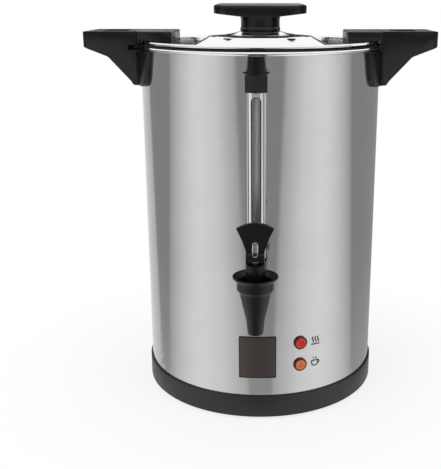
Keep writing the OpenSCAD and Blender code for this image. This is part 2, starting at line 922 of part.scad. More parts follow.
module faucet_body() {
    mouth_r = lip_r - 1.3;
    cavity_r = collar_r - bell_wall;
    color(black) difference() {
        union() {
            translate([0, -faucet_y, 0])
                rotate_extrude($fn = 96)
                    polygon([
                        [0, tip_z], [tip_r, tip_z], [tip_r + 0.3, tip_z + 1], [tip_r + 1.6, tip_z + 13.5],
                        [cone_r, cone_top_z], [cone_r + 0.6, cone_top_z + 1.4], [collar_r, collar_z],
                        [collar_r, collar_z + collar_h], [lip_r, lip_z - 1.2], [lip_r, lip_z - 0.4],
                        [mouth_r + 0.4, lip_z], [mouth_r, lip_z - 0.6], [cavity_r, collar_z + collar_h],
                        [cavity_r, collar_z + 1.4], [tube_r, collar_z + 1.4], [tube_r, tube_top],
                        [0, tube_top]]);
            rod(shank_r, tee_end, faucet_y, outlet_z);
            rod(spigot_r, tee_end - socket_depth + seat, faucet_y, outlet_z);
        }
        rod(shank_bore_r, tee_end - socket_depth - 1, faucet_y, outlet_z);
        translate([0, -faucet_y, valve_seat_z])
            cylinder(r = chamber_r, h = tube_top - valve_seat_z + 1);
        translate([0, -faucet_y, tip_z - 1])
            cylinder(r = outlet_r, h = throat_z - tip_z + 2);
        translate([0, -faucet_y, throat_z])
            cylinder(r = throat_r, h = valve_seat_z - throat_z + 1);
        translate([0, -faucet_y, tip_z - skin])
            cylinder(r1 = tip_r - 1.6, r2 = outlet_r, h = 6);
    }
}

module faucet_bonnet() {
    ribs = 10;
    color("#1d1d1d") translate([0, -faucet_y, 0]) difference() {
        union() {
            translate([0, 0, bonnet_skirt_z])
                cylinder(r = bonnet_r, h = bonnet_top - bonnet_skirt_z - 0.8);
            translate([0, 0, bonnet_top - 0.8 - skin])
                cylinder(r1 = bonnet_r, r2 = bonnet_r - 0.8, h = 0.8 + skin);
            for (i = [0:ribs - 1])
                rotate([0, 0, i * 360 / ribs])
                    translate([bonnet_r - 0.1, 0, bonnet_skirt_z])
                        cylinder(r = 0.6, h = bonnet_top - bonnet_skirt_z - 2, $fn = 24);
        }
        translate([0, 0, bonnet_skirt_z - 1])
            cylinder(r = tube_r + seat, h = tube_top + seat - bonnet_skirt_z + 1);
        cylinder(r = stem_r + running, h = bonnet_top + 1);
    }
}

module stem_seal() {
    color("#e6e2da") translate([0, -faucet_y, tube_top + seat - stem_seal_t]) difference() {
        cylinder(r = chamber_r - seat, h = stem_seal_t);
        translate([0, 0, -1])
            cylinder(r = stem_r + clear, h = stem_seal_t + 2);
    }
}

module valve_stem() {
    color("#b9bcc0") translate([0, -faucet_y, 0]) difference() {
        union() {
            translate([0, 0, cup_z + 2])
                cylinder(r = stem_r, h = pin_z - cup_z - 2);
            translate([0, 0, stem_collar_z + seat])
                cylinder(r = spring_r + spring_wire_r, h = stem_collar_t);
            translate([-head_w / 2, -head_d / 2, bonnet_top + 0.6])
                cube([head_w, head_d, pin_z + head_top - head_d / 2 - bonnet_top - 0.6]);
            translate([0, 0, pin_z + head_top - head_d / 2])
                rotate([0, 90, 0])
                    cylinder(r = head_d / 2, h = head_w, center = true);
        }
        translate([0, 0, pin_z])
            rotate([0, 90, 0])
                cylinder(r = pin_r + running, h = head_w + 2, center = true);
    }
}

module seat_cup() {
    nose_r = outlet_r - 0.6;
    color("#d9d4c8") translate([0, -faucet_y, 0]) difference() {
        rotate_extrude()
            polygon([[0, cup_z - 2], [nose_r - 0.8, cup_z - 2], [nose_r, cup_z], [cup_r, cup_z],
                [cup_r, cup_z + 4], [cup_r - 0.8, cup_z + cup_h], [0, cup_z + cup_h]]);
        translate([0, 0, cup_z + 2 - seat])
            cylinder(r = stem_r + seat / 2, h = cup_h);
    }
}

// Points of one ring of wire on a coil, at turn t
function coil_ring(t, r, wire, pitch, sides) = [
    for (j = [0:sides - 1])
        let (a = 360 * t, b = 360 * j / sides, rr = r + wire * cos(b))
            [rr * cos(a), rr * sin(a), pitch * t + wire * sin(b)]];

module coil(r, wire, height, turns) {
    sides = 8;
    steps = 14 * turns;
    pitch = (height - 2 * wire) / turns;
    rings = [for (i = [0:steps]) coil_ring(i / 14, r, wire, pitch, sides)];
    points = [for (one = rings) for (p = one) p];
    last = steps * sides;
    skins = [for (i = [0:steps - 1]) for (j = [0:sides - 1])
        let (a = i * sides + j, b = i * sides + (j + 1) % sides)
            [a, a + sides, b + sides, b]];
    ends = [[for (j = [0:sides - 1]) j], [for (j = [sides - 1:-1:0]) last + j]];
    polyhedron(points, concat(skins, ends), convexity = 10);
}

module valve_spring() {
    low = stem_collar_z + seat + stem_collar_t;
    high = tube_top + seat - stem_seal_t;
    color("#a8a8a8") translate([0, -faucet_y, low + spring_wire_r + seat])
        coil(spring_r, spring_wire_r, high - low - 2 * seat, spring_turns);
}

// A point of the lever's cam: the flat bonnet touches it there after that much tilt
function cam_point(a) =
    let (h = cam_h + cam_rate * a * PI / 180)
        [-h * sin(a) - cam_rate * cos(a), -h * cos(a) + cam_rate * sin(a)];

module lever_side() {
    toe = cam_point(lever_tilt);
    polygon(concat(
        [[block_back, -cam_h]],
        [for (a = [0:5:lever_tilt]) cam_point(a)],
        [toe, [toe[0], 4.6], [toe[0] + 1.4, ledge_z], [-fan_front, ledge_z],
            [-fan_front + 0.4, ledge_z + 6], [-fan_front, lever_h + 1], [-fan_front + fan_t, lever_h + 1],
            [-fan_front + fan_t, ledge_z + 9], [block_back, 3]]));
}

module lever_front() {
    waist = block_w / 2;
    flare = fan_w / 2 - waist;
    corner_z = lever_h - crown_drop;
    arc_r = (fan_w * fan_w / 4 + crown_drop * crown_drop) / (2 * crown_drop);
    steps = 8;
    side = [for (i = [0:steps])
        let (t = i / steps)
            [waist + flare * (0.72 * t + 0.28 * t * t), ledge_z + (corner_z - ledge_z) * t]];
    square_low = -cam_h - 1;
    intersection() {
        polygon(concat(
            [[waist, square_low]], side, [[fan_w / 2, lever_h + 1], [-fan_w / 2, lever_h + 1]],
            [for (i = [steps:-1:0]) [-side[i][0], side[i][1]]], [[-waist, square_low]]));
        union() {
            translate([0, lever_h - arc_r])
                circle(arc_r, $fn = smooth);
            translate([-waist - 1, square_low])
                square([2 * waist + 2, 20]);
        }
    }
}

module lever_side_solid(width) {
    rotate([90, 0, 90])
        linear_extrude(width, center = true)
            lever_side();
}

module faucet_lever() {
    bridge_low = -1.7;
    bridge_y = 7.4;
    window_r = slot_w / 2;
    round_z = window_r + 1.5;
    color(black) translate([0, -faucet_y, pin_z]) difference() {
        union() {
            difference() {
                intersection() {
                    lever_side_solid(fan_w + 2);
                    rotate([90, 0, 0])
                        linear_extrude(40, center = true)
                            lever_front();
                }
                translate([-window_r, -20, -cam_h - 1])
                    cube([slot_w, 40, cam_h + 1 + window_top - window_r]);
                translate([0, 0, window_top - window_r])
                    rotate([90, 0, 0])
                        cylinder(r = window_r, h = 40, center = true);
            }
            difference() {
                intersection() {
                    lever_side_solid(slot_w + 0.4);
                    translate([-slot_w, -20, bridge_low])
                        cube([2 * slot_w, 20 - bridge_y, round_z - bridge_low]);
                }
                translate([0, 0, round_z])
                    rotate([90, 0, 0])
                        cylinder(r = window_r, h = 60, center = true);
            }
        }
        rotate([0, 90, 0])
            cylinder(r = pin_r + seat / 2, h = block_w + 2, center = true);
    }
}

module lever_pin() {
    color("#8a8a8a") translate([0, -faucet_y, pin_z])
        rotate([0, 90, 0])
            cylinder(r = pin_r, h = block_w - 0.6, center = true);
}

// Rounds the outer corners of an outline
module soften(r) {
    offset(r = r, $fn = corner)
        offset(delta = -r)
            children();
}

// Rounds the inner corners of an outline
module fillet(r) {
    offset(r = -r, $fn = corner)
        offset(delta = r)
            children();
}

// Outline of a grip seen from the front, the drum's axis at x = 0
module grip_side() {
    fillet(7)
        soften(2)
            polygon([
                [body_r - 25, grip_z], [grip_x, grip_z], [grip_x, grip_z - grip_end_h], [kink_x, kink_z],
                [toe_x + 3, grip_foot + 4.5], [toe_x, grip_foot], [body_r - 25, grip_foot]]);
}

// Outline of a grip seen along X
module grip_end() {
    translate([-grip_w / 2, grip_foot])
        square([grip_w, 20]);
    soften(1.6)
        translate([-grip_w / 2, grip_foot + 10])
            square([grip_w, grip_z - grip_foot - 10]);
    soften(14)
        polygon([
            [-saddle_foot_half, grip_foot], [saddle_foot_half, grip_foot],
            [saddle_half, grip_z], [-saddle_half, grip_z]]);
}

// Outline of a grip in plan, with its saddle around the drum
module grip_plan() {
    fillet(8)
        difference() {
            union() {
                intersection() {
                    circle(body_r + saddle_t, $fn = smooth);
                    translate([body_r / 2, -saddle_half])
                        square([body_r, 2 * saddle_half]);
                }
                soften(6)
                    translate([body_r - 20, -grip_w / 2])
                        square([grip_x - body_r + 20, grip_w]);
            }
            circle(body_r + seat, $fn = smooth);
        }
}

// A grip on the +X side. Its slot opens towards +Y, where the tongue leaves it.
module grip() {
    stop_angle = tongue_angle + 0.4;
    difference() {
        intersection() {
            linear_extrude(grip_z + 1)
                grip_plan();
            translate([0, saddle_half + 10, 0])
                rotate([90, 0, 0])
                    linear_extrude(2 * saddle_half + 20)
                        grip_side();
            translate([body_r / 2, 0, 0])
                rotate([90, 0, 90])
                    linear_extrude(body_r)
                        intersection() {
                            grip_end();
                            union() {
                                translate([-saddle_half, 0])
                                    square([2 * saddle_half, saddle_top]);
                                translate([-grip_w / 2, 0])
                                    square([grip_w, grip_z + 1]);
                            }
                        }
        }
        translate([0, 0, slot_z + slot_h])
            cylinder(r = seam_r, h = 60, $fn = smooth);
        translate([0, 0, saddle_top])
            cylinder(r = bead_clear, h = 60, $fn = smooth);
        rotate([0, 0, -stop_angle])
            rotate_extrude(angle = 90, $fn = smooth)
                translate([bead_clear - 2, slot_z])
                    square([slot_r - bead_clear + 2, slot_h]);
        translate([body_r, finger_w / 2 + 2, slot_z])
            cube([mouth_x - body_r, grip_w, slot_h]);
        translate([finger_x + finger_gap / 2, 0, 0])
            linear_extrude(grip_z + 2)
                rounded(finger_gap, finger_w, 7);
        for (a = [-1, 1])
            turned(90 + a * handle_screw_angle)
                rod(screw_r + seat, body_r - 2, body_r + 12, handle_screw_z);
    }
}

module handle_right() {
    color(black)
        grip();
}

module handle_left() {
    color(black) rotate([0, 0, 180])
        grip();
}

module handle_screws() {
    color(steel) for (side = [90, -90], a = [-1, 1])
        turned(side + a * handle_screw_angle)
            wall_screw(body_wall + 11.5, handle_screw_z, 1.4);
}

module handle_washers() {
    washer_out = screw_head + 1.2;
    color("#e6e2da") for (side = [90, -90], a = [-1, 1])
        turned(side + a * handle_screw_angle)
            difference() {
                rod(washer_out, wall_in - 1.4, wall_in - 0.2, handle_screw_z);
                rod(screw_r + seat, wall_in - 2, wall_in + 1, handle_screw_z);
            }
}

// Height of the lid's upper face on the raised middle
function crown_at(r) = crown_z - crown_h * pow(r / plateau_r, 2);

module lid() {
    steps = 6;
    round_r = 2.5;
    rim_under = lid_bead_z - lid_rim_t / 2;
    rim_r = lid_bead_c - lid_bead_r / 2;
    top = concat(
        [for (i = [0:steps]) let (r = (plateau_r - round_r) * i / steps) [r, crown_at(r)]],
        [[plateau_r, plateau_z - 0.25], [plateau_r + round_r * 0.7, plateau_z - 1.5],
            [cone_foot_r - 2, lid_z + 0.7], [cone_foot_r + 1.5, lid_z]]);
    under = [for (i = [len(top) - 1:-1:0]) [top[i][0], top[i][1] - lid_t]];
    rim = [
        [lid_wall_r - lid_t, lid_z], [lid_wall_r - lid_t, rim_under + lid_rim_t],
        [rim_r, rim_under + lid_rim_t], [rim_r, rim_under], [lid_wall_r, rim_under],
        [lid_wall_r, lid_z - lid_t]];
    color(steel) difference() {
        union() {
            rotate_extrude($fn = smooth)
                polygon(concat(top, rim, under));
            rotate_extrude($fn = smooth)
                translate([lid_bead_c, lid_bead_z])
                    circle(lid_bead_r);
        }
        translate([0, 0, plateau_z - 5])
            cylinder(r = knob_bore_r, h = 12);
        for (a = [-vent_angle, vent_angle])
            rotate([0, 0, a])
                translate([0, -vent_r, plateau_z - 5])
                    linear_extrude(12)
                        rounded(vent_l, vent_w, vent_w / 2 - skin);
        for (side = [0, 180])
            rotate([0, 0, side])
                translate([ear_screw_at, 0, lid_z - 5])
                    cylinder(r = 1.8 + seat, h = 10);
    }
}

module lid_seal() {
    color("#dcd8cf") rotate_extrude($fn = smooth) {
        translate([lid_wall_r + clear, bead_top + clear])
            square([body_r - lid_wall_r - clear - 0.6, seal_t]);
        translate([lid_wall_r + clear, rim_z + bead_r - seal_skirt])
            square([seal_skirt_t, bead_top + clear - rim_z - bead_r + seal_skirt + seal_t]);
    }
}

// An ear on the +X side: it rests on the lid, spans both beads and ends in the tongue
module ear() {
    leg_in = ear_leg_in - seat;
    leg_out = ear_r - seat;
    difference() {
        union() {
            intersection() {
                rotate_extrude($fn = smooth)
                    polygon([
                        [ear_in - 6, lid_z], [ear_in_r, lid_z], [ear_in_r, ear_over_z],
                        [ear_leg_in, ear_over_z],
                        [ear_leg_in, ear_over_z - 1.8], [ear_r, ear_over_z - 1.8], [ear_r, grip_z],
                        [ear_in - 6, grip_z]]);
                translate([ear_in, 0, 0])
                    rotate([90, 0, 90])
                        linear_extrude(60)
                            soften(1.6)
                                translate([-grip_w / 2, lid_z - 5])
                                    square([grip_w, grip_z - lid_z + 5]);
                translate([0, 50, 0])
                    rotate([90, 0, 0])
                        linear_extrude(100)
                            soften(1.6)
                                translate([ear_in, lid_z - 5])
                                    square([80, grip_z - lid_z + 5]);
            }
            rotate([0, 0, -tongue_angle])
                rotate_extrude(angle = 2 * tongue_angle, $fn = smooth)
                    polygon([
                        [leg_in, tongue_z], [tongue_r, tongue_z], [tongue_r, tongue_z + tongue_t],
                        [leg_out, tongue_z + tongue_t], [leg_out, ear_over_z + 1], [leg_in, ear_over_z + 1]]);
        }
        difference() {
            translate([ear_in + ear_wall, -grip_w / 2 + ear_wall, lid_z - 1])
                cube([
                    ear_in_r - ear_in - 2 * ear_wall - 2, grip_w - 2 * ear_wall,
                    grip_z - lid_z - ear_wall + 1]);
            translate([ear_screw_at, 0, lid_z - 1])
                cylinder(r = 5, h = 30);
        }
        translate([ear_screw_at, 0, lid_z - 1])
            cylinder(r = 1.8 + seat / 2, h = grip_z - lid_z - ear_wall + 1);
    }
}

module ear_right() {
    color(black)
        ear();
}

module ear_left() {
    color(black) rotate([0, 0, 180])
        ear();
}

module ear_screws() {
    color(steel) for (side = [0, 180])
        rotate([0, 0, side])
            translate([ear_screw_at, 0, lid_z - lid_t])
                screw(1.8, 3.6, 2, lid_t + 8);
}

module knob_bar_side() {
    half = knob_l / 2;
    wide = half + 1;
    end_z = knob_top - knob_crown - knob_end_t;
    round_r = (knob_end * knob_end + knob_crown * knob_crown) / (2 * knob_crown);
    intersection() {
        polygon([
            [-wide, end_z], [-column_d / 2, bar_z - 3.2], [column_d / 2, bar_z - 3.2], [wide, end_z],
            [wide, knob_top + 1], [-wide, knob_top + 1]]);
        union() {
            translate([knob_end - half, knob_top - 2 * round_r])
                square([knob_l - 2 * knob_end, 2 * round_r]);
            for (x = [-1, 1])
                translate([x * (half - knob_end), knob_top - round_r])
                    circle(round_r);
        }
    }
}

module knob_bar_end() {
    half = knob_w / 2;
    crown_r = (half * half + knob_crown * knob_crown) / (2 * knob_crown);
    intersection() {
        translate([-half - 1, knob_z])
            square([knob_w + 2, knob_h + 1]);
        translate([0, knob_top - crown_r])
            circle(crown_r, $fn = smooth);
    }
}

module knob() {
    color(black) difference() {
        union() {
            intersection() {
                translate([0, 0, knob_z])
                    linear_extrude(knob_h + 2)
                        rounded(knob_l, knob_w, knob_corner);
                translate([0, knob_w / 2 + 1, 0])
                    rotate([90, 0, 0])
                        linear_extrude(knob_w + 2)
                            knob_bar_side();
                translate([-knob_l / 2 - 1, 0, 0])
                    rotate([90, 0, 90])
                        linear_extrude(knob_l + 2)
                            knob_bar_end();
            }
            rotate_extrude()
                polygon([
                    [0, knob_z], [neck_r, knob_z], [neck_r, knob_z + neck_h],
                    [column_d / 2, knob_z + neck_h], [column_d / 2, knob_z + neck_h + 2],
                    [column_d / 2 - 0.7, knob_z + neck_h + 4], [column_d / 2 - 0.7, bar_z - 7],
                    [column_d / 2, bar_z - 3], [column_d / 2, bar_z], [0, bar_z]]);
        }
        translate([0, 0, knob_z - 1])
            cylinder(r = knob_bore_r - 0.1, h = knob_h - 8);
    }
}

module knob_flare() {
    in_r = neck_r + seat;
    edge_t = 0.2;
    color("#d8d8d8") rotate_extrude($fn = 96)
        polygon(concat(
            [for (r = [in_r, (in_r + flare_r) / 2, flare_r]) [r, crown_at(r) + seat]],
            [[flare_r, crown_at(flare_r) + seat + edge_t], [flare_r - 8, crown_at(flare_r - 8) + 1],
                [in_r + 3, knob_z + neck_h - 1], [in_r, knob_z + neck_h - seat]]));
}

module knob_screw() {
    color(steel) translate([0, 0, crown_z - lid_t - seat])
        screw(2.4, 4.6, 2.6, knob_h - 8);
}

module pump_stem() {
    notch = 5;
    collar_at = basket_z - clear - collar_t;
    dome_z = foot_z + dome_h;
    color("#c4c4c4") difference() {
        union() {
            rotate_extrude($fn = 96)
                polygon([
                    [pump_foot_r - 1, foot_z], [pump_foot_r, foot_z], [pump_foot_r, foot_z + 5],
                    [pump_foot_r - 3, foot_z + 8], [pump_r + 3, dome_z - 1], [pump_r, dome_z + 3],
                    [pump_r, pump_top], [pump_r - pump_wall, pump_top], [pump_r - pump_wall, dome_z],
                    [pump_r + 2, dome_z - 2], [pump_foot_r - 4, foot_z + 7],
                    [pump_foot_r - 1, foot_z + 4.5]]);
            translate([0, 0, collar_at])
                difference() {
                    cylinder(r = pump_r + 4, h = collar_t);
                    translate([0, 0, -1])
                        cylinder(r = pump_r - 0.3, h = collar_t + 2);
                }
        }
        for (a = [0, 90])
            rotate([0, 0, a])
                translate([-well_r, -notch / 2, foot_z - 1])
                    cube([2 * well_r, notch, 3.5]);
    }
}

module pump_disc() {
    color("#b0b0b0") ring(2, pump_foot_r - 6, well_z + clear / 2, 0.8);
}

// Rings of holes between two radii, each ring's holes about one pitch apart
module perforations(r_in, r_out, z) {
    for (r = [r_in:perforation_pitch:r_out])
        let (count = floor(2 * PI * r / perforation_pitch))
            for (i = [0:count - 1])
                rotate([0, 0, 360 * i / count])
                    translate([r, 0, z])
                        cylinder(r = perforation_r, h = 6, center = true, $fn = 16);
}

module basket() {
    color("#bdbdbd") difference() {
        rotate_extrude($fn = smooth) {
            polygon([
                [sleeve_in, basket_z], [basket_r - 3, basket_z], [basket_r, basket_z + 3],
                [basket_r, basket_top - basket_bead_r], [basket_r - basket_t, basket_top - basket_bead_r],
                [basket_r - basket_t, basket_z + 3.3], [basket_r - 3.3, basket_z + basket_t],
                [sleeve_out, basket_z + basket_t], [sleeve_out, basket_top - sleeve_drop],
                [sleeve_in, basket_top - sleeve_drop]]);
            translate([basket_r, basket_top - basket_bead_r])
                circle(basket_bead_r, $fn = 32);
        }
        perforations(perforation_in, basket_r - perforation_edge, basket_z);
    }
}

module basket_cover() {
    cover_z = basket_top + clear;
    cover_r = basket_r + 2.4;
    color("#c6c6c6") difference() {
        rotate_extrude($fn = smooth)
            polygon([
                [sleeve_in, cover_z], [cover_r, cover_z], [cover_r, cover_z + 3.4],
                [cover_r - basket_t, cover_z + 3.4],
                [cover_r - basket_t, cover_z + basket_t], [sleeve_out + 1, cover_z + basket_t],
                [sleeve_out, cover_z + 5], [sleeve_in, cover_z + 5]]);
        perforations(perforation_in, basket_r - perforation_edge, cover_z);
    }
}

urn_body();
pot_floor();
base_ring();
base_plate();
feet();
base_screws();
heat_plate();
brew_element();
warm_element();
thermostat();
thermal_fuse();
terminal_block();
inlet_socket();
inlet_pins();
lamp_bezels();
heating_lamp();
warm_lamp();
lamp_nuts();
gauge_tee();
shank_washers();
shank_nut();
gauge_shoe();
gauge_glass();
gauge_guard();
gauge_cap();
gauge_seals();
cap_screw();
faucet_nut();
faucet_body();
faucet_bonnet();
stem_seal();
valve_stem();
seat_cup();
valve_spring();
faucet_lever();
lever_pin();
handle_left();
handle_right();
handle_screws();
handle_washers();
lid();
lid_seal();
ear_left();
ear_right();
ear_screws();
knob();
knob_flare();
knob_screw();
pump_stem();
pump_disc();
basket();
basket_cover();
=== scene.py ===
import bmesh
import bpy
import math
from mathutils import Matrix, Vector


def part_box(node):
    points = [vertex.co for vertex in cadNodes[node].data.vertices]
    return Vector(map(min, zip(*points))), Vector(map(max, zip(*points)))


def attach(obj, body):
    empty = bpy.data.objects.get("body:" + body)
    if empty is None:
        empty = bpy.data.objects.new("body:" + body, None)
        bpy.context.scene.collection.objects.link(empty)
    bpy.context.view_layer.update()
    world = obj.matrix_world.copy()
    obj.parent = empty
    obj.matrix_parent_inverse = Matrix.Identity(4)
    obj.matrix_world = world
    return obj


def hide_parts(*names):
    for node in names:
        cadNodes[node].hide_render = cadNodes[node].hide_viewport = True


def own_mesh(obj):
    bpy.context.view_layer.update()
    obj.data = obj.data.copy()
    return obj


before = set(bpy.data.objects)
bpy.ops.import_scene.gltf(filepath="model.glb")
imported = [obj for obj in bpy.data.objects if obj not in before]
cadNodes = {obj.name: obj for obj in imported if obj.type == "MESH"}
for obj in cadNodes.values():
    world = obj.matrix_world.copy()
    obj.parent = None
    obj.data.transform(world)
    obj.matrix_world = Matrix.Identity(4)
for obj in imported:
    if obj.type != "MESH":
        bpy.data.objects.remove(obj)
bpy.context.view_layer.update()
mm = 0.001   # in metres
print("coffee urn: frame loaded,", len(cadNodes), "CAD nodes")


def linear(hexCode):
    # an sRGB hex colour as Blender's linear RGBA
    parts = [int(hexCode[i:i + 2], 16) / 255 for i in (1, 3, 5)]
    return tuple(c / 12.92 if c < 0.04045 else ((c + 0.055) / 1.055) ** 2.4 for c in parts) + (1.0,)


def addNode(tree, kind, inputs=None, **settings):
    # on a colour Mix node 0 is the factor, 6 and 7 the two colours, and output 2 their mix
    node = tree.nodes.new(kind)
    for name, value in settings.items():
        setattr(node, name, value)
    for name, value in (inputs or {}).items():
        if isinstance(value, bpy.types.NodeSocket):
            tree.links.new(value, node.inputs[name])
        else:
            node.inputs[name].default_value = value
    return node


def startFinish(name):
    # a new material with its tree still bare, and the place on the object that patterns read
    material = bpy.data.materials.new(name)
    material.use_nodes = True
    tree = material.node_tree
    tree.nodes.clear()
    place = addNode(tree, "ShaderNodeTexCoord").outputs["Object"]
    return material, tree, place


def endFinish(material, tree, shader):
    addNode(tree, "ShaderNodeOutputMaterial", {"Surface": shader.outputs[0]})
    return material


def perMetre(sizeMm):
    # the texture scale at which one cell of a pattern is this wide
    return 1.0 / (sizeMm * mm)


def brushedSteel(name, look):
    # rolled or turned stainless sheet: fine parallel scratches blur what it mirrors across them.
    # The real ones are 0.1 mm apart, and these are drawn three times coarser or more to show
    material, tree, place = startFinish(name)
    grain = addNode(tree, "ShaderNodeMapping", {
        "Vector": place, "Scale": tuple(perMetre(s) for s in look["grainMm"])})
    lines = addNode(tree, "ShaderNodeTexNoise", {
        "Vector": grain.outputs[0], "Scale": 1.0, "Detail": 3.0, "Roughness": 0.6})
    clouds = addNode(tree, "ShaderNodeTexNoise", {
        "Vector": place, "Scale": perMetre(look["cloudMm"]), "Detail": 4.0, "Roughness": 0.55})
    tone = addNode(tree, "ShaderNodeMath", {
        0: lines.outputs["Fac"], 1: clouds.outputs["Fac"]}, operation="MULTIPLY")
    colour = addNode(tree, "ShaderNodeMix", {
        0: tone.outputs[0], 6: linear(look["light"]), 7: linear(look["deep"])}, data_type="RGBA")
    if "foldMm" in look:
        # painted shade: a thin dark line painted down the fold each side, where the turned sheet
        # lies in shade
        across = addNode(tree, "ShaderNodeSeparateXYZ", {0: place})
        aside = addNode(tree, "ShaderNodeMath", {0: across.outputs["X"]}, operation="ABSOLUTE")
        inFold = addNode(tree, "ShaderNodeMath", {
            0: aside.outputs[0], 1: look["foldMm"] * mm, 2: look["foldShadeMm"] * mm},
            operation="COMPARE")
        colour = addNode(tree, "ShaderNodeMix", {
            0: inFold.outputs[0], 6: colour.outputs[2], 7: linear(look["foldShade"])}, data_type="RGBA")
    rough = addNode(tree, "ShaderNodeMapRange", {
        "Value": tone.outputs[0], "From Min": 0.1, "From Max": 0.5,
        "To Min": look["rough"][0], "To Max": look["rough"][1]})
    bump = addNode(tree, "ShaderNodeBump", {
        "Height": lines.outputs["Fac"], "Strength": look["bump"],
        "Distance": look["scratchMm"] * mm})
    metal = 1.0
    if "innerMm" in look:
        # inside, a film of scale dulls the wall, so the eye sees into the pot when it is open
        flat = addNode(tree, "ShaderNodeVectorMath", {0: place, 1: (1, 1, 0)}, operation="MULTIPLY")
        out = addNode(tree, "ShaderNodeVectorMath", {0: flat.outputs[0]}, operation="LENGTH")
        metal = addNode(tree, "ShaderNodeMapRange", {
            "Value": out.outputs["Value"], "From Min": look["innerMm"] * mm,
            "From Max": look["outerMm"] * mm, "To Min": look["innerMetal"], "To Max": 1.0,
            }).outputs[0]
    shader = addNode(tree, "ShaderNodeBsdfPrincipled", {
        "Base Color": colour.outputs[2], "Metallic": metal, "Roughness": rough.outputs[0],
        "Anisotropic": look["anisotropy"], "Anisotropic Rotation": look["turn"],
        "Normal": bump.outputs[0]})
    return endFinish(material, tree, shader)


def mouldedPlastic(name, look):
    # injection-moulded thermoplastic: a spark-eroded grain from the tool, slightly uneven gloss.
    # The tool's pits are 0.1 mm across, and they are drawn five times coarser or more to show
    material, tree, place = startFinish(name)
    grain = addNode(tree, "ShaderNodeTexNoise", {
        "Vector": place, "Scale": perMetre(look["grainMm"]), "Detail": 2.0, "Roughness": 0.6})
    flow = addNode(tree, "ShaderNodeTexNoise", {
        "Vector": place, "Scale": perMetre(look["flowMm"]), "Detail": 4.0, "Roughness": 0.6})
    colour = addNode(tree, "ShaderNodeMix", {
        0: flow.outputs["Fac"], 6: linear(look["dark"]), 7: linear(look["light"])},
        data_type="RGBA")
    rough = addNode(tree, "ShaderNodeMapRange", {
        "Value": flow.outputs["Fac"], "From Min": 0.3, "From Max": 0.7,
        "To Min": look["rough"][0], "To Max": look["rough"][1]})
    edge = addNode(tree, "ShaderNodeBevel", {"Radius": look["edgeMm"] * mm}, samples=6)
    bump = addNode(tree, "ShaderNodeBump", {
        "Height": grain.outputs["Fac"], "Strength": look["bump"], "Distance": look["pitMm"] * mm,
        "Normal": edge.outputs[0]})
    shader = addNode(tree, "ShaderNodeBsdfPrincipled", {
        "Base Color": colour.outputs[2], "Roughness": rough.outputs[0], "IOR": look["ior"],
        "Coat Weight": look["coat"], "Coat Roughness": look["coatRough"],
        "Normal": bump.outputs[0]})
    return endFinish(material, tree, shader)


def solidFinish(name, look):
    # metals, rubbers and ceramics of the small parts: two mixed tones, uneven gloss, fine relief,
    # which is drawn coarser than the real grit so that it shows
    material, tree, place = startFinish(name)
    clouds = addNode(tree, "ShaderNodeTexNoise", {
        "Vector": place, "Scale": perMetre(look["cloudMm"]), "Detail": 5.0, "Roughness": 0.6})
    grain = addNode(tree, "ShaderNodeTexNoise", {
        "Vector": place, "Scale": perMetre(look["grainMm"]), "Detail": 2.0})
    ramp = addNode(tree, "ShaderNodeMapRange", {
        "Value": clouds.outputs["Fac"], "From Min": 0.32, "From Max": 0.68})
    colour = addNode(tree, "ShaderNodeMix", {
        0: ramp.outputs[0], 6: linear(look["light"]), 7: linear(look["deep"])}, data_type="RGBA")
    rough = addNode(tree, "ShaderNodeMapRange", {
        "Value": grain.outputs["Fac"], "From Min": 0.3, "From Max": 0.7,
        "To Min": look["rough"][0], "To Max": look["rough"][1]})
    edge = addNode(tree, "ShaderNodeBevel", {"Radius": 0.2 * mm}, samples=4)
    bump = addNode(tree, "ShaderNodeBump", {
        "Height": grain.outputs["Fac"], "Strength": look["bump"], "Distance": look["pitMm"] * mm,
        "Normal": edge.outputs[0]})
    shader = addNode(tree, "ShaderNodeBsdfPrincipled", {
        "Base Color": colour.outputs[2], "Metallic": look["metal"], "Roughness": rough.outputs[0],
        "Normal": bump.outputs[0]})
    if not look["metal"]:
        shader.inputs["IOR"].default_value = look["ior"]
        shader.inputs["Subsurface Weight"].default_value = look.get("soft", 0.0)
        shader.inputs["Subsurface Radius"].default_value = (2 * mm, 2 * mm, 2 * mm)
    return endFinish(material, tree, shader)


def lampLens(name, look):
    # polycarbonate lens over a neon glow lamp: tinted clear plastic, lit from inside
    material, tree, place = startFinish(name)
    cells = addNode(tree, "ShaderNodeTexVoronoi", {
        "Vector": place, "Scale": perMetre(look["cellMm"])})
    glow = addNode(tree, "ShaderNodeMapRange", {
        "Value": cells.outputs["Distance"], "From Min": 0.05, "From Max": 0.7,
        "To Min": 1.0, "To Max": 0.0})
    colour = addNode(tree, "ShaderNodeMix", {
        0: glow.outputs[0], 6: linear(look["deep"]), 7: linear(look["light"])}, data_type="RGBA")
    rough = addNode(tree, "ShaderNodeMapRange", {
        "Value": cells.outputs["Distance"], "To Min": look["rough"][0], "To Max": look["rough"][1]})
    shader = addNode(tree, "ShaderNodeBsdfPrincipled", {
        "Base Color": colour.outputs[2], "Roughness": rough.outputs[0], "IOR": look["ior"],
        "Transmission Weight": look["clear"], "Emission Color": linear(look["light"]),
        "Emission Strength": look["glow"]})
    return endFinish(material, tree, shader)


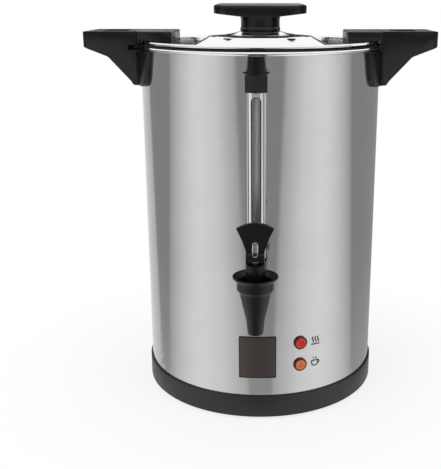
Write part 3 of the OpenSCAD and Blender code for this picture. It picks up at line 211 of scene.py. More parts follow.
def drawnGlass(name, look):
    # borosilicate tube, filmed inside by use, with drawn streaks along it
    material, tree, place = startFinish(name)
    stretch = addNode(tree, "ShaderNodeMapping", {
        "Vector": place, "Scale": tuple(perMetre(s) for s in look["streakMm"])})
    streaks = addNode(tree, "ShaderNodeTexNoise", {"Vector": stretch.outputs[0], "Scale": 1.0})
    rough = addNode(tree, "ShaderNodeMapRange", {
        "Value": streaks.outputs["Fac"], "To Min": look["rough"][0], "To Max": look["rough"][1]})
    shader = addNode(tree, "ShaderNodeBsdfPrincipled", {
        "Base Color": linear(look["tint"]), "Roughness": rough.outputs[0], "IOR": look["ior"],
        "Transmission Weight": 1.0})
    return endFinish(material, tree, shader)


def heatedSheath(name, look):
    # nickel-alloy heater tube: dark oxide with straw and blue temper colours where it runs hottest
    material, tree, place = startFinish(name)
    bands = addNode(tree, "ShaderNodeTexNoise", {
        "Vector": place, "Scale": perMetre(look["bandMm"]), "Detail": 3.0})
    temper = addNode(tree, "ShaderNodeValToRGB", {0: bands.outputs["Fac"]})
    stops = temper.color_ramp.elements
    stops[0].position, stops[0].color = 0.3, linear(look["oxide"])
    stops[1].position, stops[1].color = 0.72, linear(look["straw"])
    middle = stops.new(0.52)
    middle.color = linear(look["blue"])
    shader = addNode(tree, "ShaderNodeBsdfPrincipled", {
        "Base Color": temper.outputs[0], "Metallic": 1.0, "Roughness": 0.42})
    return endFinish(material, tree, shader)


finishes = {
    # rolled stainless sheet: long soft-edged bands of light and dark
    "drumSteel": brushedSteel("brushedDrumSteel", {
        "light": "#D6D6D7", "deep": "#BDBDBF", "grainMm": (60, 60, 0.35), "cloudMm": 45,
        "rough": (0.10, 0.14), "bump": 0.02, "scratchMm": 0.02, "anisotropy": 0.75, "turn": 0.25,
        "innerMm": 124.5, "outerMm": 124.6, "innerMetal": 0.55}),
    # satin stainless pressing: a broad grey sheen with no clear mirror
    "potSteel": brushedSteel("satinPotSteel", {
        "light": "#CFCFD0", "deep": "#B2B2B4", "grainMm": (40, 40, 0.5), "cloudMm": 30,
        "rough": (0.28, 0.4), "bump": 0.08, "scratchMm": 0.03, "anisotropy": 0.4, "turn": 0.25}),
    # buffed stainless: a near mirror, white from above and black where it turns away
    "lidSteel": brushedSteel("polishedLidSteel", {
        "light": "#FAFAFA", "deep": "#F0F0F0", "grainMm": (6, 6, 6), "cloudMm": 25,
        "rough": (0.05, 0.10), "bump": 0.02, "scratchMm": 0.02, "anisotropy": 0.0, "turn": 0.0}),
    # bright stainless strip: hard white, with a painted shade line down each fold
    "guardSteel": brushedSteel("brightGuardSteel", {
        "light": "#FAFAFA", "deep": "#EEEEEF", "grainMm": (0.4, 0.4, 80), "cloudMm": 20,
        "rough": (0.06, 0.10), "bump": 0.03, "scratchMm": 0.02, "anisotropy": 0.0, "turn": 0.0,
        "foldMm": 7.05, "foldShadeMm": 0.4, "foldShade": "#1E1E1F"}),
    # phenolic resin: deep black with a low, broad gloss along the rounded edges
    "gripPlastic": mouldedPlastic("phenolicGripBlack", {
        "dark": "#060606", "light": "#0A0A0B", "grainMm": 0.7, "flowMm": 9, "rough": (0.24, 0.32),
        "edgeMm": 0.6, "bump": 0.08, "pitMm": 0.04, "ior": 1.42, "coat": 0.0, "coatRough": 0.1}),
    # polypropylene: charcoal and matt, so it reads softer than the grips
    "basePlastic": mouldedPlastic("polypropyleneBaseBlack", {
        "dark": "#101011", "light": "#161617", "grainMm": 0.9, "flowMm": 14, "rough": (0.42, 0.52),
        "edgeMm": 0.5, "bump": 0.16, "pitMm": 0.07, "ior": 1.49, "coat": 0.0, "coatRough": 0.3}),
    # glass-filled nylon: black with a slightly dusty gloss
    "tapPlastic": mouldedPlastic("glassFilledNylonBlack", {
        "dark": "#060606", "light": "#0B0B0C", "grainMm": 0.6, "flowMm": 6, "rough": (0.28, 0.38),
        "edgeMm": 0.4, "bump": 0.10, "pitMm": 0.04, "ior": 1.38, "coat": 0.0, "coatRough": 0.1}),
    # polycarbonate blend: dull dark grey, so the pins stand out in it
    "inletPlastic": mouldedPlastic("polycarbonateBlendInlet", {
        "dark": "#1B1B1B", "light": "#252525", "grainMm": 0.5, "flowMm": 5, "rough": (0.45, 0.6),
        "edgeMm": 0.3, "bump": 0.15, "pitMm": 0.05, "ior": 1.5, "coat": 0.0, "coatRough": 0.3}),
    # dark red polycarbonate: a thin deep ring that sets the lens off
    "bezelPlastic": mouldedPlastic("polycarbonateBezelRed", {
        "dark": "#3C0806", "light": "#520F0B", "grainMm": 0.5, "flowMm": 4, "rough": (0.34, 0.44),
        "edgeMm": 0.2, "bump": 0.05, "pitMm": 0.03, "ior": 1.45, "coat": 0.0, "coatRough": 0.1}),
    # natural nylon: warm off-white, waxy
    "nylon": mouldedPlastic("naturalNylonNut", {
        "dark": "#D8D5C8", "light": "#E6E3D8", "grainMm": 0.5, "flowMm": 5, "rough": (0.4, 0.5),
        "edgeMm": 0.3, "bump": 0.1, "pitMm": 0.05, "ior": 1.53, "coat": 0.0, "coatRough": 0.3}),
    # red polycarbonate: saturated and glowing faintly through its prisms
    "lensRed": lampLens("redLensPolycarbonate", {
        "light": "#EE3F2A", "deep": "#B2170F", "cellMm": 1.6, "rough": (0.08, 0.16),
        "ior": 1.58, "clear": 0.25, "glow": 0.12}),
    # amber polycarbonate: the same glow, warm orange
    "lensAmber": lampLens("amberLensPolycarbonate", {
        "light": "#F08A55", "deep": "#B8552C", "cellMm": 1.6, "rough": (0.08, 0.16),
        "ior": 1.58, "clear": 0.25, "glow": 0.12}),
    # borosilicate with a film inside: an even grey column between two fine edges
    "gaugeGlass": drawnGlass("borosilicateGaugeTube", {
        "tint": "#FDFEFE", "ior": 1.47, "streakMm": (3, 3, 60), "rough": (0.30, 0.36)}),
    # nickel-alloy sheath: dark, with blue and straw where it has been hot
    "element": heatedSheath("temperedHeaterSheath", {
        "bandMm": 22, "oxide": "#3B3836", "blue": "#4A5468", "straw": "#8A7350"}),
    # food silicone: warm ivory, soft-edged, a little translucent
    "silicone": solidFinish("foodSiliconeIvory", {
        "light": "#E8E5DE", "deep": "#D6D2C9", "cloudMm": 12, "grainMm": 0.8, "rough": (0.45, 0.6),
        "bump": 0.1, "pitMm": 0.04, "metal": 0.0, "ior": 1.41, "soft": 0.2}),
    # cured rubber: the lid seal's flat black line round an opening, and the painted shade line
    # round the guard's window
    "sealAndShadeBlack": solidFinish("curedSealAndShadeBlack", {
        "light": "#1A1A1B", "deep": "#121213", "cloudMm": 10, "grainMm": 0.6, "rough": (0.42, 0.55),
        "bump": 0.1, "pitMm": 0.04, "metal": 0.0, "ior": 1.45}),
    # zinc-plated steel: small cool sparkle with a hint of yellow
    "fastener": solidFinish("zincPlatedFastener", {
        "light": "#CDD0D4", "deep": "#B3B0A6", "cloudMm": 3, "grainMm": 0.3, "rough": (0.2, 0.34),
        "bump": 0.08, "pitMm": 0.03, "metal": 1.0}),
    # powder coat on steel: grainy dark grey
    "plateSteel": solidFinish("powderCoatedBasePlate", {
        "light": "#2C2C2D", "deep": "#1F1F20", "cloudMm": 25, "grainMm": 0.9, "rough": (0.5, 0.62),
        "bump": 0.3, "pitMm": 0.08, "metal": 0.0, "ior": 1.5}),
    # moulded rubber: the dullest black on the object
    "rubber": solidFinish("mouldedRubberFoot", {
        "light": "#202020", "deep": "#161616", "cloudMm": 8, "grainMm": 0.5, "rough": (0.62, 0.78),
        "bump": 0.25, "pitMm": 0.06, "metal": 0.0, "ior": 1.52}),
    # cast aluminium: pale, rough and unevenly grey
    "castAluminium": solidFinish("castHeatPlateAluminium", {
        "light": "#BEBFC1", "deep": "#A2A3A6", "cloudMm": 15, "grainMm": 1.2, "rough": (0.42, 0.58),
        "bump": 0.35, "pitMm": 0.12, "metal": 1.0}),
    # glazed steatite: cream with a soft shine
    "ceramic": solidFinish("glazedSteatite", {
        "light": "#E9E3D3", "deep": "#DCD4C0", "cloudMm": 6, "grainMm": 0.7, "rough": (0.3, 0.45),
        "bump": 0.1, "pitMm": 0.05, "metal": 0.0, "ior": 1.6, "soft": 0.1}),
    # anodised edge: a thin near-black line round the plate
    "plateFrame": solidFinish("anodisedPlateFrame", {
        "light": "#141111", "deep": "#0E0C0C", "cloudMm": 6, "grainMm": 0.3, "rough": (0.28, 0.38),
        "bump": 0.05, "pitMm": 0.02, "metal": 0.0, "ior": 1.6}),
    # brushed bronze film: warm brown-grey with fine level strokes
    "plateField": brushedSteel("brushedBronzePlate", {
        "light": "#645C5A", "deep": "#4F4846", "grainMm": (0.3, 0.3, 30), "cloudMm": 15,
        "rough": (0.30, 0.40), "bump": 0.06, "scratchMm": 0.02, "anisotropy": 0.3, "turn": 0.0}),
    # heat-tinted stainless: a narrow dull straw line down the back
    "weldSteel": solidFinish("temperedWeldSteel", {
        "light": "#C9C7C2", "deep": "#A89C8A", "cloudMm": 7, "grainMm": 0.4, "rough": (0.25, 0.38),
        "bump": 0.1, "pitMm": 0.03, "metal": 1.0}),
    # screen ink: flat black strokes, crisp against the steel
    "printInk": solidFinish("screenPrintInk", {
        "light": "#17171A", "deep": "#0F0F11", "cloudMm": 3, "grainMm": 0.2, "rough": (0.4, 0.5),
        "bump": 0.1, "pitMm": 0.01, "metal": 0.0, "ior": 1.5}),
    # nickel brass: pale yellow glint inside the inlet
    "brass": solidFinish("nickelBrassContact", {
        "light": "#D8C68A", "deep": "#B89F5E", "cloudMm": 3, "grainMm": 0.3, "rough": (0.22, 0.34),
        "bump": 0.06, "pitMm": 0.03, "metal": 1.0}),
}


wear = {
    "drumSteel": ["urn_body"],
    "potSteel": ["pot_floor", "pump_stem", "pump_disc", "basket", "basket_cover"],
    "lidSteel": ["lid", "knob_flare"],
    "guardSteel": ["gauge_guard"],
    "gripPlastic": ["handle_left", "handle_right", "ear_left", "ear_right", "knob"],
    "basePlastic": ["base_ring"],
    "tapPlastic": ["faucet_body", "faucet_lever", "faucet_bonnet", "faucet_nut", "gauge_tee",
                   "gauge_cap", "gauge_shoe"],
    "inletPlastic": ["inlet_socket"],
    "bezelPlastic": ["lamp_bezels"],
    "nylon": ["lamp_nuts"],
    "lensRed": ["heating_lamp"],
    "lensAmber": ["warm_lamp"],
    "gaugeGlass": ["gauge_glass"],
    "element": ["brew_element", "warm_element"],
    "sealAndShadeBlack": ["lid_seal"],
    "silicone": ["gauge_seals", "shank_washers", "stem_seal", "seat_cup",
                 "handle_washers"],
    "fastener": ["base_screws", "cap_screw", "handle_screws", "ear_screws", "knob_screw",
                 "shank_nut", "lever_pin", "valve_stem", "valve_spring"],
    "plateSteel": ["base_plate"],
    "rubber": ["feet"],
    "castAluminium": ["heat_plate"],
    "ceramic": ["thermostat", "thermal_fuse", "terminal_block"],
    "brass": ["inlet_pins"],
}
for finish, members in wear.items():
    for member in members:
        slots = cadNodes[member].data.materials
        slots.clear()
        slots.append(finishes[finish])
print("finishes:", len(finishes))


def addObject(name, data):
    thing = bpy.data.objects.new(name, data)
    bpy.context.scene.collection.objects.link(thing)
    return thing


def finalMesh(thing):
    # the plain mesh that an object's modifiers make
    return bpy.data.meshes.new_from_object(
        thing.evaluated_get(bpy.context.evaluated_depsgraph_get()))


def declare(piece, body, slot, *replaced):
    if replaced:
        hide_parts(*replaced)
    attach(piece, body)


mend = {"weld": 0.001, "sliver": 0.0005, "flat": 0.4}   # mm, mm and degrees


def refined(node, look):
    # the CAD part again with its triangles welded and its edges broken, as a mould leaves them
    source = cadNodes[node]
    bm = bmesh.new()
    bm.from_mesh(source.data)
    bmesh.ops.remove_doubles(bm, verts=bm.verts[:], dist=mend["weld"] * mm)
    bmesh.ops.dissolve_degenerate(bm, edges=bm.edges[:], dist=mend["sliver"] * mm)
    bmesh.ops.dissolve_limit(bm, angle_limit=math.radians(mend["flat"]), verts=bm.verts[:],
                             edges=bm.edges[:])
    mesh = bpy.data.meshes.new(look["name"])
    bm.to_mesh(mesh)
    bm.free()
    for finish in source.data.materials:
        mesh.materials.append(finish)
    mesh.shade_smooth()
    piece = addObject(look["name"], mesh)
    breaker = piece.modifiers.new("brokenEdges", "BEVEL")
    breaker.width = look["edge"] * mm
    breaker.segments = look["steps"]
    breaker.limit_method = "ANGLE"
    breaker.angle_limit = math.radians(look["smooth"])
    breaker.harden_normals = True
    breaker.use_clamp_overlap = look.get("clamp", True)
    piece.data = finalMesh(piece)
    piece.modifiers.remove(breaker)
    bpy.data.meshes.remove(mesh)
    declare(piece, look["body"], look["slot"], node)


softEdges = {
    "knob": {"name": "softKnob", "smooth": 14, "edge": 0.7, "steps": 3, "body": "twist_lid",
             "slot": "grip_plastic"},
    "handle_left": {"name": "gripLeft", "smooth": 12, "edge": 0.8, "steps": 3, "body": "housing",
                    "slot": "grip_plastic"},
    "handle_right": {"name": "gripRight", "smooth": 12, "edge": 0.8, "steps": 3, "body": "housing",
                     "slot": "grip_plastic"},
    "ear_left": {"name": "earLeft", "smooth": 14, "edge": 0.5, "steps": 2, "body": "twist_lid",
                 "slot": "grip_plastic"},
    "ear_right": {"name": "earRight", "smooth": 14, "edge": 0.5, "steps": 2, "body": "twist_lid",
                  "slot": "grip_plastic"},
    "faucet_body": {"name": "faucetFunnel", "smooth": 20, "edge": 0.3, "steps": 2,
                    "body": "housing", "slot": "tap_plastic"},
    "faucet_lever": {"name": "tapLever", "smooth": 14, "edge": 0.4, "steps": 2, "body": "lever",
                     "slot": "tap_plastic"},
    "gauge_guard": {"name": "gaugeGuard", "smooth": 15, "edge": 0.3, "steps": 3, "clamp": False,
                    "body": "housing", "slot": "guard_steel"},
    "gauge_cap": {"name": "gaugeCap", "smooth": 14, "edge": 0.7, "steps": 3, "body": "housing",
                  "slot": "tap_plastic"},
}
for node, look in softEdges.items():
    refined(node, look)
print("broken edges:", len(softEdges))


drum = {"radius": 125.0, "potRadius": 122.6}   # outer steel skin and the inside of the pot wall
lampHeights = {"heating_lamp": 83.0, "warm_lamp": 59.0}


def linkPiece(name, mesh, body, slot, *replaced):
    piece = addObject(name, mesh)
    declare(piece, body, slot, *replaced)
    return piece


def startTree(name, sizes):
    # a geometry tree whose inputs are named for the sizes they take
    tree = bpy.data.node_groups.new(name, "GeometryNodeTree")
    kinds = {int: "NodeSocketInt", float: "NodeSocketFloat", tuple: "NodeSocketVector"}
    for label, value in sizes.items():
        kind = "NodeSocketMaterial" if label == "Finish" else kinds[type(value)]
        tree.interface.new_socket(name=label, in_out="INPUT", socket_type=kind)
    tree.interface.new_socket(name="Geometry", in_out="OUTPUT", socket_type="NodeSocketGeometry")
    return tree, tree.nodes.new("NodeGroupInput").outputs


def growMesh(name, tree, sizes):
    # runs the tree once and keeps the plain mesh that it makes
    seed = addObject(name, bpy.data.meshes.new(name))
    grower = seed.modifiers.new("grow", "NODES")
    grower.node_group = tree
    for socket in tree.interface.items_tree:
        if socket.in_out == "INPUT":
            grower[socket.identifier] = sizes[socket.name]
    mesh = finalMesh(seed)
    seed.modifiers.remove(grower)
    bpy.data.objects.remove(seed)
    return mesh


def endTree(name, tree, given, sizes, geometry, smooth=True):
    real = addNode(tree, "GeometryNodeRealizeInstances", {"Geometry": geometry})
    shaded = addNode(tree, "GeometryNodeSetShadeSmooth", {
        "Geometry": real.outputs[0], "Shade Smooth": smooth})
    dressed = addNode(tree, "GeometryNodeSetMaterial", {
        "Geometry": shaded.outputs[0], "Material": given["Finish"]})
    addNode(tree, "NodeGroupOutput", {0: dressed.outputs[0]})
    return growMesh(name, tree, sizes)


def studsOnDrum(name, sizes):
    # rows and columns of low rounded studs, wrapped on the drum's wall
    tree, given = startTree(name, sizes)
    grid = addNode(tree, "GeometryNodeMeshGrid", {
        "Size X": addNode(tree, "ShaderNodeMath", {
            0: addNode(tree, "ShaderNodeMath", {0: given["Columns"], 1: 1.0},
                       operation="SUBTRACT").outputs[0],
            1: given["Column pitch"]}, operation="MULTIPLY").outputs[0],
        "Size Y": addNode(tree, "ShaderNodeMath", {
            0: addNode(tree, "ShaderNodeMath", {0: given["Rows"], 1: 1.0},
                       operation="SUBTRACT").outputs[0],
            1: given["Row pitch"]}, operation="MULTIPLY").outputs[0],
        "Vertices X": given["Columns"], "Vertices Y": given["Rows"]})
    place = addNode(tree, "ShaderNodeSeparateXYZ", {
        0: addNode(tree, "GeometryNodeInputPosition").outputs[0]})
    turn = addNode(tree, "ShaderNodeMath", {
        0: addNode(tree, "ShaderNodeMath", {0: place.outputs["X"], 1: given["Drum radius"]},
                   operation="DIVIDE").outputs[0],
        1: given["Azimuth"]}, operation="ADD").outputs[0]
    sine = addNode(tree, "ShaderNodeMath", {0: turn}, operation="SINE").outputs[0]
    cosine = addNode(tree, "ShaderNodeMath", {0: turn}, operation="COSINE").outputs[0]
    onWall = addNode(tree, "ShaderNodeCombineXYZ", {
        "X": addNode(tree, "ShaderNodeMath", {0: sine, 1: given["Drum radius"]},
                     operation="MULTIPLY").outputs[0],
        "Y": addNode(tree, "ShaderNodeMath", {
            0: addNode(tree, "ShaderNodeMath", {0: cosine, 1: given["Drum radius"]},
                       operation="MULTIPLY").outputs[0], 1: -1.0}, operation="MULTIPLY").outputs[0],
        "Z": addNode(tree, "ShaderNodeMath", {0: place.outputs["Y"], 1: given["Height"]},
                     operation="ADD").outputs[0]})
    points = addNode(tree, "GeometryNodeCaptureAttribute", {"Geometry": grid.outputs["Mesh"]})
    points.capture_items.new("FLOAT", "Turn")
    tree.links.new(turn, points.inputs["Turn"])
    wall = addNode(tree, "GeometryNodeSetPosition", {
        "Geometry": points.outputs["Geometry"], "Position": onWall.outputs[0]})
    facing = addNode(tree, "ShaderNodeCombineXYZ", {"Z": points.outputs["Turn"]})
    stud = addNode(tree, "GeometryNodeMeshUVSphere", {"Segments": 10, "Rings": 6, "Radius": 1.0})
    studs = addNode(tree, "GeometryNodeInstanceOnPoints", {
        "Points": wall.outputs[0], "Instance": stud.outputs["Mesh"],
        "Rotation": addNode(tree, "FunctionNodeEulerToRotation", {0: facing.outputs[0]}).outputs[0],
        "Scale": given["Stud half size"]})
    return endTree(name, tree, given, sizes, studs.outputs[0])


def wrapOnDrum(bm, radius, azimuth, height):
    # a flat drawing in x and z, with y as its depth below the surface, bent round the drum
    for v in bm.verts:
        turn = v.co.x / radius + math.radians(azimuth)
        out = radius - v.co.y
        v.co = Vector((out * math.sin(turn), -out * math.cos(turn), v.co.z + height)) * mm


def meshFrom(bm, name, *looks):
    mesh = bpy.data.meshes.new(name)
    bm.to_mesh(mesh)
    bm.free()
    for look in looks:
        mesh.materials.append(finishes[look])
    return mesh


def cutUpright(bm, half, step):
    # upright cuts through a flat drawing so that it can bend
    x = -half + step
    while x < half:
        bmesh.ops.bisect_plane(bm, geom=bm.verts[:] + bm.edges[:] + bm.faces[:], dist=1e-5,
                               plane_co=(x, 0, 0), plane_no=(1, 0, 0))
        x += step


def roundedOutline(width, height, corner, steps):
    points = []
    for cx, cz, start in ((1, 1, 0), (-1, 1, 90), (-1, -1, 180), (1, -1, 270)):
        for i in range(steps + 1):
            angle = math.radians(start + 90 * i / steps)
            points.append((cx * (width / 2 - corner) + corner * math.cos(angle),
                           cz * (height / 2 - corner) + corner * math.sin(angle)))
    return points


def curvedPlate(name, look):
    # a thin plate with rounded corners and a framed field, rolled to the drum
    bm = bmesh.new()
    outline = roundedOutline(look["wide"], look["tall"], look["corner"], look["cornerSteps"])
    face = bm.faces.new([bm.verts.new((x, 0, z)) for x, z in outline])
    body = bmesh.ops.extrude_face_region(bm, geom=[face])
    front = [g for g in body["geom"] if isinstance(g, bmesh.types.BMFace)][0]
    bmesh.ops.translate(bm, verts=front.verts[:], vec=(0, -look["thick"], 0))
    bmesh.ops.recalc_face_normals(bm, faces=bm.faces[:])
    bmesh.ops.bevel(bm, geom=front.edges[:], offset=look["edge"], segments=2, affect="EDGES",
                    profile=0.6)
    # the bevel makes the front anew: it is the outermost face, and the largest there
    front = min(bm.faces, key=lambda f: f.calc_center_median().y * 100 - f.calc_area())
    bmesh.ops.inset_region(bm, faces=[front], thickness=look["frame"], depth=0.0)
    bmesh.ops.inset_region(bm, faces=[front], thickness=look["sink"], depth=-look["sink"])
    front.material_index = 1
    cutUpright(bm, look["wide"] / 2, look["cutEvery"])
    wrapOnDrum(bm, drum["radius"], look["azimuth"], look["height"])
    bmesh.ops.recalc_face_normals(bm, faces=bm.faces[:])
    return meshFrom(bm, name, look["frameFinish"], look["fieldFinish"])


namePlate = {"wide": 37.9, "tall": 45.3, "corner": 0.8, "cornerSteps": 5, "thick": 0.9,
             "edge": 0.3, "frame": 0.9, "sink": 0.2, "cutEvery": 1.6, "azimuth": 0.2,
             "height": 69.4, "frameFinish": "plateFrame", "fieldFinish": "plateField"}
linkPiece("namePlate", curvedPlate("namePlate", namePlate), "housing", "bezel_plastic")

# the drum is a rolled sheet: its joint is welded up the back, a row of overlapping puddles
seamWeld = {"Columns": 1, "Rows": 292, "Column pitch": 1 * mm, "Row pitch": 1.1 * mm,
            "Azimuth": math.radians(-158), "Height": 197 * mm,
            "Drum radius": (drum["radius"] - 0.1) * mm,   # sunk a tenth into the wall
            "Stud half size": (1.0 * mm, 0.3 * mm, 0.95 * mm), "Finish": finishes["weldSteel"]}
linkPiece("seamWeld", studsOnDrum("seamWeld", seamWeld), "housing", "drum_steel")

# level marks pressed into the pot's inner wall, beside the gauge
levelTicks = {"Columns": 1, "Rows": 17, "Column pitch": 1 * mm, "Row pitch": 11 * mm,
              "Azimuth": math.radians(26), "Height": 250 * mm,
              "Drum radius": drum["potRadius"] * mm,
              "Stud half size": (4.5 * mm, 0.4 * mm, 0.55 * mm), "Finish": finishes["potSteel"]}
linkPiece("levelTicks", studsOnDrum("levelTicks", levelTicks), "housing", "pot_steel")
print("plates, weld and level marks")


def sweptWire(name, sizes, drawPath):
    # round wire carried along a path, then turned and put in its place
    tree, given = startTree(name, sizes)
    section = addNode(tree, "GeometryNodeCurvePrimitiveCircle", {
        "Resolution": given["Wire sides"], "Radius": given["Wire radius"]})
    wire = addNode(tree, "GeometryNodeCurveToMesh", {
        "Curve": drawPath(tree, given), "Profile Curve": section.outputs["Curve"],
        "Fill Caps": True})
    placed = addNode(tree, "GeometryNodeTransform", {
        "Geometry": wire.outputs[0], "Translation": given["Place"], "Rotation": given["Facing"]})
    return endTree(name, tree, given, sizes, placed.outputs[0])


def ringPath(tree, given):
    ring = addNode(tree, "GeometryNodeCurvePrimitiveCircle", {
        "Resolution": given["Path steps"], "Radius": given["Path radius"]})
    return ring.outputs["Curve"]


def loopPath(tree, given):
    # a circle pulled apart into a long loop with round ends
    place = addNode(tree, "ShaderNodeSeparateXYZ", {
        0: addNode(tree, "GeometryNodeInputPosition").outputs[0]})
    side = addNode(tree, "ShaderNodeMath", {0: place.outputs["Y"]}, operation="SIGN")
    stretch = addNode(tree, "ShaderNodeCombineXYZ", {
        "Y": addNode(tree, "ShaderNodeMath", {0: side.outputs[0], 1: given["Half straight"]},
                     operation="MULTIPLY").outputs[0]})
    longer = addNode(tree, "GeometryNodeSetPosition", {
        "Geometry": ringPath(tree, given), "Offset": stretch.outputs[0]})
    return longer.outputs[0]


def coilPath(tree, given):
    coil = addNode(tree, "GeometryNodeCurveSpiral", {
        "Resolution": given["Path steps"], "Rotations": given["Turns"],
        "Start Radius": given["Path radius"], "End Radius": given["Path radius"],
        "Height": given["Coil height"]})
    return coil.outputs["Curve"]


# the pot's edge is rolled outwards over a wire and polished
rolledRim = {"Path steps": 288, "Path radius": 124.1 * mm, "Wire sides": 24,
             "Wire radius": 1.94 * mm, "Place": (0.0, 0.0, 368.9 * mm), "Facing": (0.0, 0.0, 0.0),
             "Finish": finishes["lidSteel"]}
linkPiece("rolledRim", sweptWire("rolledRim", rolledRim, ringPath), "housing", "drum_steel")

# the sprung wire clip in the lever's slot, which keeps its pin from working out
pinClip = {"Path steps": 32, "Path radius": 2.25 * mm, "Half straight": 3.9 * mm,
           "Wire sides": 10, "Wire radius": 0.4 * mm, "Place": (0.0, -179.6 * mm, 200.1 * mm),
           "Facing": (math.radians(74), 0.0, 0.0), "Finish": finishes["lidSteel"]}
linkPiece("pinClip", sweptWire("pinClip", pinClip, loopPath), "lever", "fastener_steel")

# the valve's return spring: it stands on the stem's collar. The real one shortens as the valve
# rises; this one is built at one length and goes with the valve
springFoot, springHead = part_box("valve_spring")
springWire = 0.5 * mm
returnSpring = {
    "Turns": 7.0, "Path steps": 28, "Path radius": (springHead.x - springFoot.x) / 2 - springWire,
    "Coil height": springHead.z - springFoot.z - 2 * springWire, "Wire sides": 12,
    "Wire radius": springWire, "Facing": (0.0, 0.0, 0.0),
    "Place": ((springFoot.x + springHead.x) / 2, (springFoot.y + springHead.y) / 2,
              springFoot.z + springWire),
    "Finish": finishes["fastener"]}
springCoil = linkPiece("returnSpring", sweptWire("returnSpring", returnSpring, coilPath), "valve",
                       "fastener_steel", "valve_spring")
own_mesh(springCoil)

# a loop of black rubber round the cut edge of the guard's window, put there as painted shade: it
# draws the dark line where the sheet's cut edge lies in shadow
windowShadeLine = {"Path steps": 32, "Path radius": 4.25 * mm, "Half straight": 71.5 * mm,
              "Wire sides": 10, "Wire radius": 0.5 * mm, "Place": (0.0, -147.4 * mm, 256.6 * mm),
              "Facing": (math.radians(90), 0.0, 0.0), "Finish": finishes["sealAndShadeBlack"]}
linkPiece("windowShadeLine", sweptWire("windowShadeLine", windowShadeLine, loopPath), "housing", "silicone")

# the two snap lugs that stand out from the gauge cap's neck
capLugs = {"at": -139.0, "height": 352.4, "edge": 0.2,
           # how far out from the gauge's middle, how deep, how thick, and how high its middle is
           "root": {"reach": 8.6, "depth": 5.0, "thick": 2.4, "middle": 1.2},
           "tip": {"reach": 12.3, "depth": 2.0, "thick": 0.6, "middle": 1.608}}
bm = bmesh.new()
for side in (-1, 1):
    lug = bmesh.ops.create_cube(bm, size=1)["verts"]
    for v in lug:
        end = capLugs["tip" if v.co.x * side > 0 else "root"]
        v.co = Vector((side * end["reach"], capLugs["at"] + v.co.y * end["depth"],
                       capLugs["height"] + end["middle"] + v.co.z * end["thick"])) * mm
bmesh.ops.recalc_face_normals(bm, faces=bm.faces[:])
bmesh.ops.bevel(bm, geom=bm.edges[:], offset=capLugs["edge"] * mm, segments=2, affect="EDGES",
                profile=0.5)
linkPiece("capLugs", meshFrom(bm, "capLugs", "tapPlastic"), "housing", "tap_plastic")
print("wires, spring and lugs")


def prismsOnLens(name, sizes):
    # a cut lens: rows of small four-sided prisms over its face, trimmed to a circle
    tree, given = startTree(name, sizes)
    width = addNode(tree, "ShaderNodeMath", {0: given["Face radius"], 1: 2.0},
                    operation="MULTIPLY").outputs[0]
    grid = addNode(tree, "GeometryNodeMeshGrid", {
        "Size X": width, "Size Y": width, "Vertices X": given["Count"],
        "Vertices Y": given["Count"]})
    place = addNode(tree, "GeometryNodeInputPosition").outputs[0]
    reach = addNode(tree, "ShaderNodeVectorMath", {0: place}, operation="LENGTH")
    outside = addNode(tree, "FunctionNodeCompare", {
        0: reach.outputs["Value"], 1: given["Face radius"]}, operation="GREATER_THAN")
    kept = addNode(tree, "GeometryNodeDeleteGeometry", {
        "Geometry": grid.outputs["Mesh"], "Selection": outside.outputs[0]}, domain="POINT")
    prism = addNode(tree, "GeometryNodeMeshCone", {
        "Vertices": 4, "Radius Top": given["Tip radius"], "Radius Bottom": given["Prism radius"],
        "Depth": given["Prism height"]})
    prisms = addNode(tree, "GeometryNodeInstanceOnPoints", {
        "Points": kept.outputs[0], "Instance": prism.outputs["Mesh"]})
    stood = addNode(tree, "GeometryNodeTransform", {
        "Geometry": prisms.outputs[0], "Translation": given["Place"], "Rotation": given["Facing"]})
    return endTree(name, tree, given, sizes, stood.outputs[0], smooth=False)


lens = {"azimuth": 20.4, "proud": 3.0,   # degrees round from the front, and out from the drum
        "face": 4.0, "across": 8, "prism": 0.75, "tip": 0.12, "high": 0.5}
for node, finish, slot in (("heating_lamp", "lensRed", "lens_red"),
                           ("warm_lamp", "lensAmber", "lens_amber")):
    turn = math.radians(lens["azimuth"])
    out = (drum["radius"] + lens["proud"]) * mm
    facePlace = (out * math.sin(turn), -out * math.cos(turn), lampHeights[node] * mm)
    sizes = {"Face radius": lens["face"] * mm, "Count": lens["across"],
             "Tip radius": lens["tip"] * mm, "Prism radius": lens["prism"] * mm,
             "Prism height": lens["high"] * mm, "Place": facePlace,
             "Facing": (math.radians(90), 0.0, turn), "Finish": finishes[finish]}
    linkPiece(node + "_prisms", prismsOnLens(node + "Prisms", sizes), "housing", slot)
print("lamp lenses")


def inkStroke(bm, points, width):
    # a line of ink along points in x and z, with its corners mitred
    sides = []
    for i, (x, z) in enumerate(points):
        before, after = points[max(i - 1, 0)], points[min(i + 1, len(points) - 1)]
        along = Vector((after[0] - before[0], after[1] - before[1])).normalized()
        across = Vector((-along.y, along.x)) * width / 2
        sides.append([bm.verts.new((x + across.x * s, 0, z + across.y * s)) for s in (1, -1)])
    for (a, b), (c, d) in zip(sides, sides[1:]):
        bm.faces.new((a, b, d, c))


def arcPoints(cx, cz, radius, start, stop, steps):
    return [(cx + radius * math.cos(math.radians(start + (stop - start) * i / steps)),
             cz + radius * math.sin(math.radians(start + (stop - start) * i / steps)))
            for i in range(steps + 1)]


def wavePoints(x, z, swing, bend, rise, count):
    return [(x + swing * math.sin(t * bend), z + t * rise) for t in range(count)]


def levelPoints(x, z, step, count):
    return [(x + step * i, z) for i in range(count)]


lampMarks = {"azimuth": 28.3, "line": 0.9, "fineLine": 0.72, "film": 0.05, "scale": 1.45,
             "heat": (-2.1, 0.0, 2.1), "steam": (-1.3, 0.7)}   # where the waves rise


